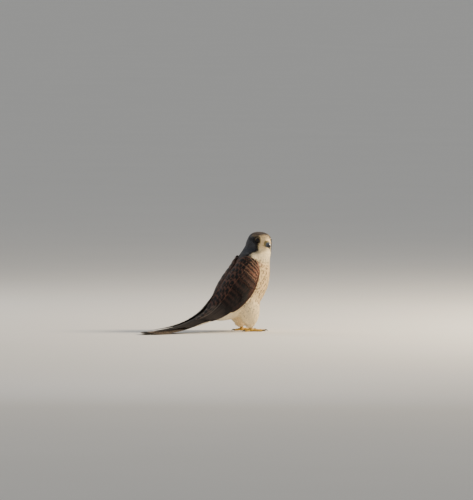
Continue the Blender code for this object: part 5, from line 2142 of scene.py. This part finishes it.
    def cere(self) -> None:
        """Makes the cere with a round nostril on each side and the small cone inside it."""
        thing = self.bill("cere_skin", CERE, 1.0, sides=40)
        finish_with(thing, "SUBSURF", levels=1, render_levels=1)
        for side in (-1.0, 1.0):
            forward, aside, up = NOSTRIL_SPOT
            spot = in_head(forward, side * aside, up) + ORIGIN_SHIFT
            hole = primitive(
                bpy.ops.mesh.primitive_cylinder_add, "nostril_hole",
                vertices=32, radius=NOSTRIL_RADIUS, depth=3.4 * MM,
            )
            seat(hole, HEAD_LEFT * side, spot)
            finish_with(thing, "BOOLEAN", operation="DIFFERENCE", object=hole, solver="MANIFOLD")
            bpy.data.objects.remove(hole)
            self.cone(side, spot)
        placed(thing, self.skin_finish, "yellow_skin", "cere")

    def cone(self, side: float, spot: np.ndarray) -> None:
        """Makes the small cone that stands in a falcon's nostril."""
        thing = primitive(
            bpy.ops.mesh.primitive_cone_add, f"nostril_cone_{'left' if side > 0 else 'right'}",
            vertices=20, radius1=0.42 * MM, radius2=0.16 * MM, depth=1.6 * MM,
        )
        seat(thing, HEAD_LEFT * side, spot - HEAD_LEFT * side * 0.45 * MM)
        finish_with(thing, "BEVEL", width=0.1 * MM, segments=2)
        bpy.ops.object.shade_smooth()
        placed(thing, self.skin_finish, "yellow_skin")


@dataclass
class Foot:
    """One foot: scaled toes with pads, the bare shank, and four curved claws."""

    side: Side
    skin_finish: bpy.types.Material
    claw_finish: bpy.types.Material

    def build(self) -> None:
        """Makes toes, shank and claws."""
        for toe in TOES:
            self.toe(toe)
            self.claw(toe)
        self.shank()
        self.palm()

    def put(self, points: np.ndarray) -> np.ndarray:
        """Returns points on this foot's own side."""
        return mirrored(points) if self.side is Side.LEFT else points

    @staticmethod
    def toe_line(toe: str, share: np.ndarray) -> tuple[np.ndarray, np.ndarray, np.ndarray]:
        """Returns a toe's middle line, its radii and its direction, for the right foot."""
        heading, length, thick = TOES[toe]
        turn = math.radians(-heading)
        ahead = np.array([math.cos(turn), math.sin(turn), 0.0])
        radius = TOE_RADIUS * thick * (1.08 - 0.26 * share)
        radius = radius * (1 + 0.07 * np.cos(share * 6 * math.pi))
        height = radius * 0.93 + 1.6 * MM * (1 - share) ** 3
        spots = FOOT_SPOT + ahead * (TOE_START + length * share)[:, None]
        spots[:, 2] = height
        return spots, radius, ahead

    def toe(self, toe: str) -> None:
        """Makes one toe with cross scutes on top and pads beneath."""
        share = np.linspace(0.0, 1.0, 90)
        spots, radius, ahead = self.toe_line(toe, share)
        turn = around(28)
        scute = (share * (TOES[toe][1] / MM) / SCUTE_MM) % 1.0
        ridge = 0.055 * (1 - (1 - scute) ** 3)[:, None] * smooth(0.0, 0.6, np.sin(turn))
        pads = 0.10 * np.sin(share * math.pi * 3) ** 2
        end = np.sqrt(np.clip(1 - smooth(0.93, 1.0, share) * 0.75, 0, 1))
        reach = radius[:, None] * (0.97 + ridge)
        reach = reach * (1 + pads[:, None] * smooth(0.1, 0.8, -np.sin(turn))) * end[:, None]
        rings = tube_rings(spots, np.cross(ahead, UP), UP, turn, reach, wide=0.96)
        rings[..., 2] = np.maximum(rings[..., 2], 0.0)
        thing = outward(mesh_piece(f"toe_{toe}_{self.side.word}", *self.tube(rings)))
        placed(thing, self.skin_finish, "yellow_skin", f"foot_{self.side.word}")

    def tube(self, rings: np.ndarray) -> tuple[np.ndarray, list]:
        """Returns a closed tube on this foot's side."""
        points, faces = closed_rings(rings)
        return self.put(points), faces

    def claw(self, toe: str) -> None:
        """Makes a curved, tapering claw that clears the floor by its tip."""
        spots, _, ahead = self.toe_line(toe, np.array([0.999, 1.0]))
        start = spots[-1] - ahead * CLAW_INSET_MM * MM
        size = CLAW_LENGTH * (0.9 if toe == "outer" else 1.0) + CLAW_INSET_MM * MM
        t = np.linspace(0.0, 1.0, 26)
        path = start + ahead * (size * np.sin(CLAW_BEND * t) / CLAW_BEND)[:, None]
        rise = 0.9 * MM * np.sin(math.pi * np.minimum(t * 1.4, 1.0))
        path[:, 2] = start[2] + rise - (start[2] - CLAW_TIP) * t**2.2
        radius = CLAW_RADIUS * (1 - t) ** 0.75 + 0.12 * MM
        way = unit(np.gradient(path, axis=0))
        side = np.cross(ahead, UP)
        rings = tube_rings(path, side, np.cross(side, way), around(20), radius[:, None], wide=0.85)
        rings[..., 2] = np.maximum(rings[..., 2], 0.02 * MM)
        thing = outward(mesh_piece(f"talon_{toe}_{self.side.word}", *self.tube(rings), run_map(t, 20)))
        placed(thing, self.claw_finish, "claw_horn", f"claw_{toe}_{self.side.word}")

    def shank(self) -> None:
        """Makes the short bare shank with its front scutes."""
        share = np.linspace(0.0, 1.0, 50)
        low = FOOT_SPOT + np.array([0, 0, 3.2 * MM])
        high = np.array([TROUSER_ROWS[0][0], TROUSER_ROWS[0][1], 16.0 * MM])
        path = low + (high - low) * share[:, None]
        turn = around(24)
        scute = (share * 9) % 1.0
        ridge = 0.05 * (1 - (1 - scute) ** 3)[:, None] * smooth(-0.2, 0.6, np.cos(turn))
        reach = TARSUS_RADIUS * (1.22 - 0.25 * smooth(0.0, 0.5, share))[:, None] * (1 + ridge)
        rings = tube_rings(path, np.array([1.0, 0, 0]), np.array([0, 1.0, 0]), turn, reach, wide=1.1)
        thing = outward(mesh_piece(f"shank_{self.side.word}", *self.tube(rings)))
        placed(thing, self.skin_finish, "yellow_skin", f"tarsus_{self.side.word}")

    def palm(self) -> None:
        """Makes the pad where the toes meet, from a ball flattened in edit mode."""
        thing = primitive(
            bpy.ops.mesh.primitive_uv_sphere_add, f"foot_palm_{self.side.word}",
            segments=40, ring_count=24, radius=4.4 * MM,
        )
        bpy.ops.object.mode_set(mode="EDIT")
        bpy.ops.mesh.select_all(action="SELECT")
        bpy.ops.transform.resize(value=(1.05, 0.95, 0.82))
        bpy.ops.object.mode_set(mode="OBJECT")
        spot = self.put(FOOT_SPOT + np.array([0, 0, 3.3 * MM])) + ORIGIN_SHIFT
        for vert in thing.data.vertices:
            vert.co += Vector(spot)
            vert.co.z = max(vert.co.z, 0.0)
        bpy.ops.object.shade_smooth()
        placed(thing, self.skin_finish, "yellow_skin", f"foot_{self.side.word}")


# ---------------------------------------------------------------- skin and thighs


@dataclass
class Skin:
    """One skin under head, neck, body and thighs, inside them by the coat's depth."""

    flesh: Flesh
    finish: bpy.types.Material
    body_depth: float = 1.7 * MM
    face_depth: float = 0.55 * MM

    def build(self) -> bpy.types.Object:
        """Returns the skin with the coat's own markings."""
        flesh = self.flesh
        forward, _, up = head_spot(flesh.spots)
        near = smooth(-26.0, -14.0, up) * smooth(-8.0, 6.0, forward)
        depth = self.body_depth + (self.face_depth - self.body_depth) * near
        at, angle = self.nearest_ring(flesh.spots)
        marks = body_marks(flesh.spots, at, angle, 5)
        mesh = flesh.surface.data
        inner = flesh.spots - flesh.outs * depth[:, None] + ORIGIN_SHIFT
        mesh.vertices.foreach_set("co", inner.ravel())
        for label in ("ground", "mark", "marks"):
            layer = mesh.attributes.new(label, "FLOAT_VECTOR", "POINT")
            layer.data.foreach_set("vector", np.asarray(getattr(marks, label), np.float32).ravel())
        mesh.update()
        flesh.surface.name = mesh.name = "skin"
        select_only(flesh.surface)
        bpy.ops.object.shade_smooth()
        return placed(
            flesh.surface, self.finish, "feather_body",
            "head", "neck", "torso", "trouser_right", "trouser_left",
        )

    @staticmethod
    def nearest_ring(points: np.ndarray) -> tuple[np.ndarray, np.ndarray]:
        """Finds ring number and angle of places by the nearest point of a dense net."""
        at, angle = crossed(np.linspace(0, len(BODY_RINGS) - 1.0, 260), around(120))
        net = ring_points(BODY_RINGS, at, angle).reshape(-1, 3)
        return only(nearest(finder_over(net), points), at.ravel(), angle.ravel())


@dataclass
class Thigh:
    """The long loose feathers of one leg."""

    side: Side
    flesh: Flesh
    finish: bpy.types.Material
    step: float = 2.3
    cut: Cut = Cut(4, 7, 0.06 * MM, 0.2 * MM, 0.3, 0.5, 0.6, 0.1)

    def build(self) -> bpy.types.Object:
        """Returns the leg's feathers, which hang down and a little back."""
        sign = self.side.sign
        rng = np.random.default_rng(77 if sign < 0 else 78)
        rows, turns = [], []
        z = 66.0
        while z > 10.6:
            row = np.interp(z, TROUSER_ROWS[:, 2] / MM, np.arange(len(TROUSER_ROWS)))
            front, back, aside = along(TROUSER_ROWS, np.array(row))[3:6] / MM
            count = max(8, int(2 * math.pi * (front + back + 2 * aside) / 4 / self.step))
            turn = (np.arange(count) + 0.5 * (len(rows) % 2) + rng.normal(0, 0.2, count)) / count
            rows.append(np.full(count, row) + rng.normal(0, 0.03, count))
            turns.append(turn * 2 * math.pi)
            z -= self.step * 0.95
        row, turn = np.clip(np.concatenate(rows), 0, 7), np.concatenate(turns)
        spots = leg_points(sign, row, turn)
        base, out = self.flesh.onto(spots)
        kept = np.linalg.norm(base - spots, axis=-1) < 0.8 * MM
        base, out, row, turn = only(kept, base, out, row, turn)
        aim = np.array([-0.16, 0.0, -1.0])
        aim = aim - out * (aim * out).sum(-1, keepdims=True)
        aim = unit(aim + rng.normal(0, 0.05, aim.shape))
        low = smooth(30.0, 12.0, base[:, 2] / MM)
        length = (9.5 + 0.5 * low) * rng.uniform(0.85, 1.15, len(base))
        length = np.minimum(length, np.maximum(base[:, 2] / MM - 4.2, 3.5))
        half = (2.0 - 0.5 * low) * rng.uniform(0.9, 1.1, len(base))
        across, share = self.cut.grid()
        wide = half[:, None] * self.cut.width(share)[None] * MM
        flat = (
            base[:, None, None]
            + aim[:, None, None] * (length[:, None] * share * MM)[:, :, None, None]
            + np.cross(aim, out)[:, None, None] * (wide[:, :, None] * across)[..., None]
        )
        near, outs = self.flesh.onto(flat)
        free = smooth(14.0, 10.5, flat[..., 2:] / MM)
        near, outs = near + (flat - near) * free, unit(outs + (out[:, None, None] - outs) * free)
        lift = -1.3 + 1.75 * share**0.75
        tops = near + outs * (lift[None, :, None] * MM + self.cut.camber * (1 - across**2))[..., None]
        at, angle = np.full(len(base), 3.6), np.full(len(base), 0.4)
        marks = body_marks(base, at, angle, 79)
        marks.ground = mix(TINTS.belly, TINTS.breast, 0.35 + 0 * at)
        marks.marks = np.column_stack([0 * at, (rng.random(len(at)) < 0.1) * 0.4, 0 * at])
        roots = np.column_stack([0.2 + 0.2 * (turn / 7.0), 0.97 + 0.02 * row / 7.0])
        made = feather_mesh(
            f"thigh_feathers_{self.side.word}", tops, outs, self.cut, marks,
            np.column_stack([length, half]), roots, (0.003, 0.003), 80,
        )
        return placed(made, self.finish, "feather_body")


# ---------------------------------------------------------------- studio


@dataclass
class Studio:
    """Floor, soft lights and the camera at the photograph's angle and framing."""

    azimuth_deg: float = -30.0
    elevation_deg: float = 3.0
    distance: float = 14.0
    frame_height: float = 0.9  # what the picture's height of 500 pixels spans at the bird
    aim_right: float = -18.0 * MM  # the picture's middle, from the floor between the feet
    aim_up: float = 145.8 * MM

    def build(self) -> None:
        """Makes floor, lights, backdrop light and camera."""
        self.floor()
        self.lights()
        self.camera()

    def floor(self) -> None:
        """Makes the floor as a disc so broad that its edge lies out of every view."""
        thing = primitive(
            bpy.ops.mesh.primitive_circle_add, "studio_floor", vertices=96, radius=60.0, fill_type="NGON"
        )
        bpy.ops.object.mode_set(mode="EDIT")
        bpy.ops.mesh.select_all(action="SELECT")
        bpy.ops.mesh.inset(thickness=0.5, depth=0.0)
        bpy.ops.object.mode_set(mode="OBJECT")
        thing.data.materials.append(StudioFloor().build())

    def lights(self) -> None:
        """Sets a broad key light from the camera's right, a fill and a soft surrounding."""
        world = bpy.data.worlds.new("studio_air")
        bpy.context.scene.world = world
        world.use_nodes = True
        air = world.node_tree.nodes["Background"]
        air.inputs["Color"].default_value = rgba("#EEF0F2")
        air.inputs["Strength"].default_value = 0.48
        middle = Vector((*ORIGIN_SHIFT[:2], 0.09))
        for name, spot, power, size, colour in (
            ("key", (1.35, -0.62, 0.95), 66.0, 0.4, "#FFECCE"),
            ("fill", (-0.9, -1.3, 0.7), 1.8, 0.9, "#F2F4FF"),
            ("back", (-0.4, 1.2, 0.9), 5.0, 0.7, "#FFFFFF"),
        ):
            lamp = bpy.data.lights.new(name, "AREA")
            lamp.energy, lamp.size, lamp.color = power, size, rgba(colour)[:3]
            thing = bpy.data.objects.new(name, lamp)
            bpy.context.scene.collection.objects.link(thing)
            thing.location = middle + Vector(spot)
            thing.rotation_euler = (-Vector(spot)).to_track_quat("-Z", "Y").to_euler()

    def camera(self) -> None:
        """Sets the camera far off, so that its view is as flat as the photograph's."""
        turn, rise = math.radians(self.azimuth_deg), math.radians(self.elevation_deg)
        back = np.array(
            [math.sin(turn) * math.cos(rise), -math.cos(turn) * math.cos(rise), math.sin(rise)]
        )
        right = np.array([math.cos(turn), math.sin(turn), 0.0])
        up = np.cross(back, right)
        target = ORIGIN_SHIFT + right * self.aim_right + up * self.aim_up
        data = bpy.data.cameras.new("camera")
        data.sensor_width = 36.0
        data.lens = 36.0 * self.distance / self.frame_height
        data.clip_end = 100.0
        thing = bpy.data.objects.new("camera", data)
        bpy.context.scene.collection.objects.link(thing)
        thing.location = Vector(target + back * self.distance)
        thing.rotation_euler = Vector(-back).to_track_quat("-Z", "Y").to_euler()
        bpy.context.scene.camera = thing


# ---------------------------------------------------------------- the whole bird

UPPER_VANES = ("scapulars", "lesser_coverts", "edge_coverts")  # tiers that the cape lies over
FACE_CUT = Cut(3, 5, 0.05 * MM, 0.1 * MM, 0.25, 0.6, 0.62, 0.06)
NECK_CUT = Cut(4, 6, 0.07 * MM, 0.15 * MM, 0.3, 0.5, 0.6, 0.08)
BODY_CUT = Cut(4, 7, 0.06 * MM, 0.2 * MM, 0.3, 0.45, 0.6, 0.1)
BACK_CUT = Cut(5, 7, 0.12 * MM, 0.3 * MM, 0.45, 0.5, 0.45, 0.02)
CAPE_CUT = Cut(5, 7, 0.08 * MM, 0.22 * MM, 0.35, 0.45, 0.5, 0.05)
REGIONS = (
    Region("coat_crown", (12.5, 15.9), (-1, 1), (1.05, 0.95), (4.6, 3.9), (0.78, 0.7), (-0.55, 0.2),
           "feather_head", 11, FACE_CUT, 8.0),
    Region("coat_face", (10.0, 12.55), (-1, 1), (1.1, 1.0), (5.3, 4.4), (0.86, 0.72), (-0.6, 0.2),
           "feather_head", 17, FACE_CUT, 8.0),
    Region("coat_neck", (8.3, 10.2), (-1, 1), (1.75, 1.3), (9.0, 6.2), (1.6, 1.05), (-0.9, 0.35),
           "feather_head", 12, NECK_CUT, 7.0),
    Region("coat_back", (2.4, 8.7), (-1, -0.16), (4.2, 2.4), (15.0, 10.0), (4.4, 2.6), (-1.3, 0.7),
           "feather_back", 13, BACK_CUT, 4.0),
    Region("coat_cape", (7.5, 9.4), (-1, -0.34), (2.1, 1.7), (11.0, 8.5), (1.9, 1.35), (-0.9, 0.8),
           "feather_back", 19, CAPE_CUT, 6.0, over_wings=True),
    Region("coat_breast", (5.3, 8.6), (-0.2, 1), (2.3, 1.8), (11.0, 9.0), (1.9, 1.5), (-1.1, 0.3),
           "feather_body", 14, BODY_CUT, 7.0),
    Region("coat_belly", (1.1, 5.5), (-0.2, 1), (2.9, 2.3), (14.0, 11.5), (2.3, 1.95), (-1.1, 0.35),
           "feather_body", 18, BODY_CUT, 8.0),
    Region("coat_undertail", (4.9, 8.0), (0.1, 1), (3.4, 3.4), (21.0, 17.0), (3.2, 3.2), (-0.9, 0.5),
           "feather_body", 16, BODY_CUT, 4.0, on_tail=True),
)


def main() -> None:
    """Builds the bird and its studio, in order."""
    logging.basicConfig(level=logging.INFO, format="%(name)s %(message)s")
    bpy.ops.object.select_all(action="DESELECT")
    things = bpy.context.scene.objects
    wings = [tree_over(o for o in things if o.get("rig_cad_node") == f"wing_{side.word}") for side in Side]
    plumage, down = Plumage().build(), UnderDown().build()
    cere = BareSkin("waxy_cere", "#AE9A58", "#857748", 0.5, 0.04, 0.4).build()
    scaled = BareSkin("scaled_foot_skin", "#DDB34A", "#B98C30", 0.9, 0.09, 0.44).build()
    horn = Horn("bill_horn_blue", "#5E6671", "#0D0E11", 0.12, 0.5).build()
    lower = Horn("lower_bill_horn", "#7A7B72", "#17181B", 0.3, 0.8).build()
    talon = Horn("talon_horn", "#2A2724", "#0B0A0A", 0.0, 0.4, roughness=0.22).build()

    flesh = Flesh()
    flesh.build()
    LOG.info("flesh: %d points", len(flesh.spots))
    forms = ((BODY_RINGS, 0.0, 16.0, 60, 64), (TAIL_RINGS, 0.0, 8.0, 24, 28))
    cloth = Cloth(wing_base, [tree_of(*lofted(*form)) for form in forms], WING_RIDE, VANE_KEEP)
    for side in Side:
        Wing(side, cloth, plumage, down).build()
    Tail(plumage).build()
    Rump(plumage).build()
    coat = Coat(flesh, plumage, wings, tree_over(o for o in things if o.name.startswith(UPPER_VANES)))
    for region in REGIONS:
        coat.grow(region)
    for side in Side:
        Thigh(side, flesh, plumage).build()
    Skin(flesh, down).build()
    ring = BareSkin("eye_ring_skin", "#857343", "#574C31", 0.35, 0.03, 0.5).build()
    Face(flesh, WetEye().build(), ring, cere, horn, lower).build()
    for side in Side:
        Foot(side, scaled, talon).build()
    Studio().build()


if __name__ == "__main__":
    main()
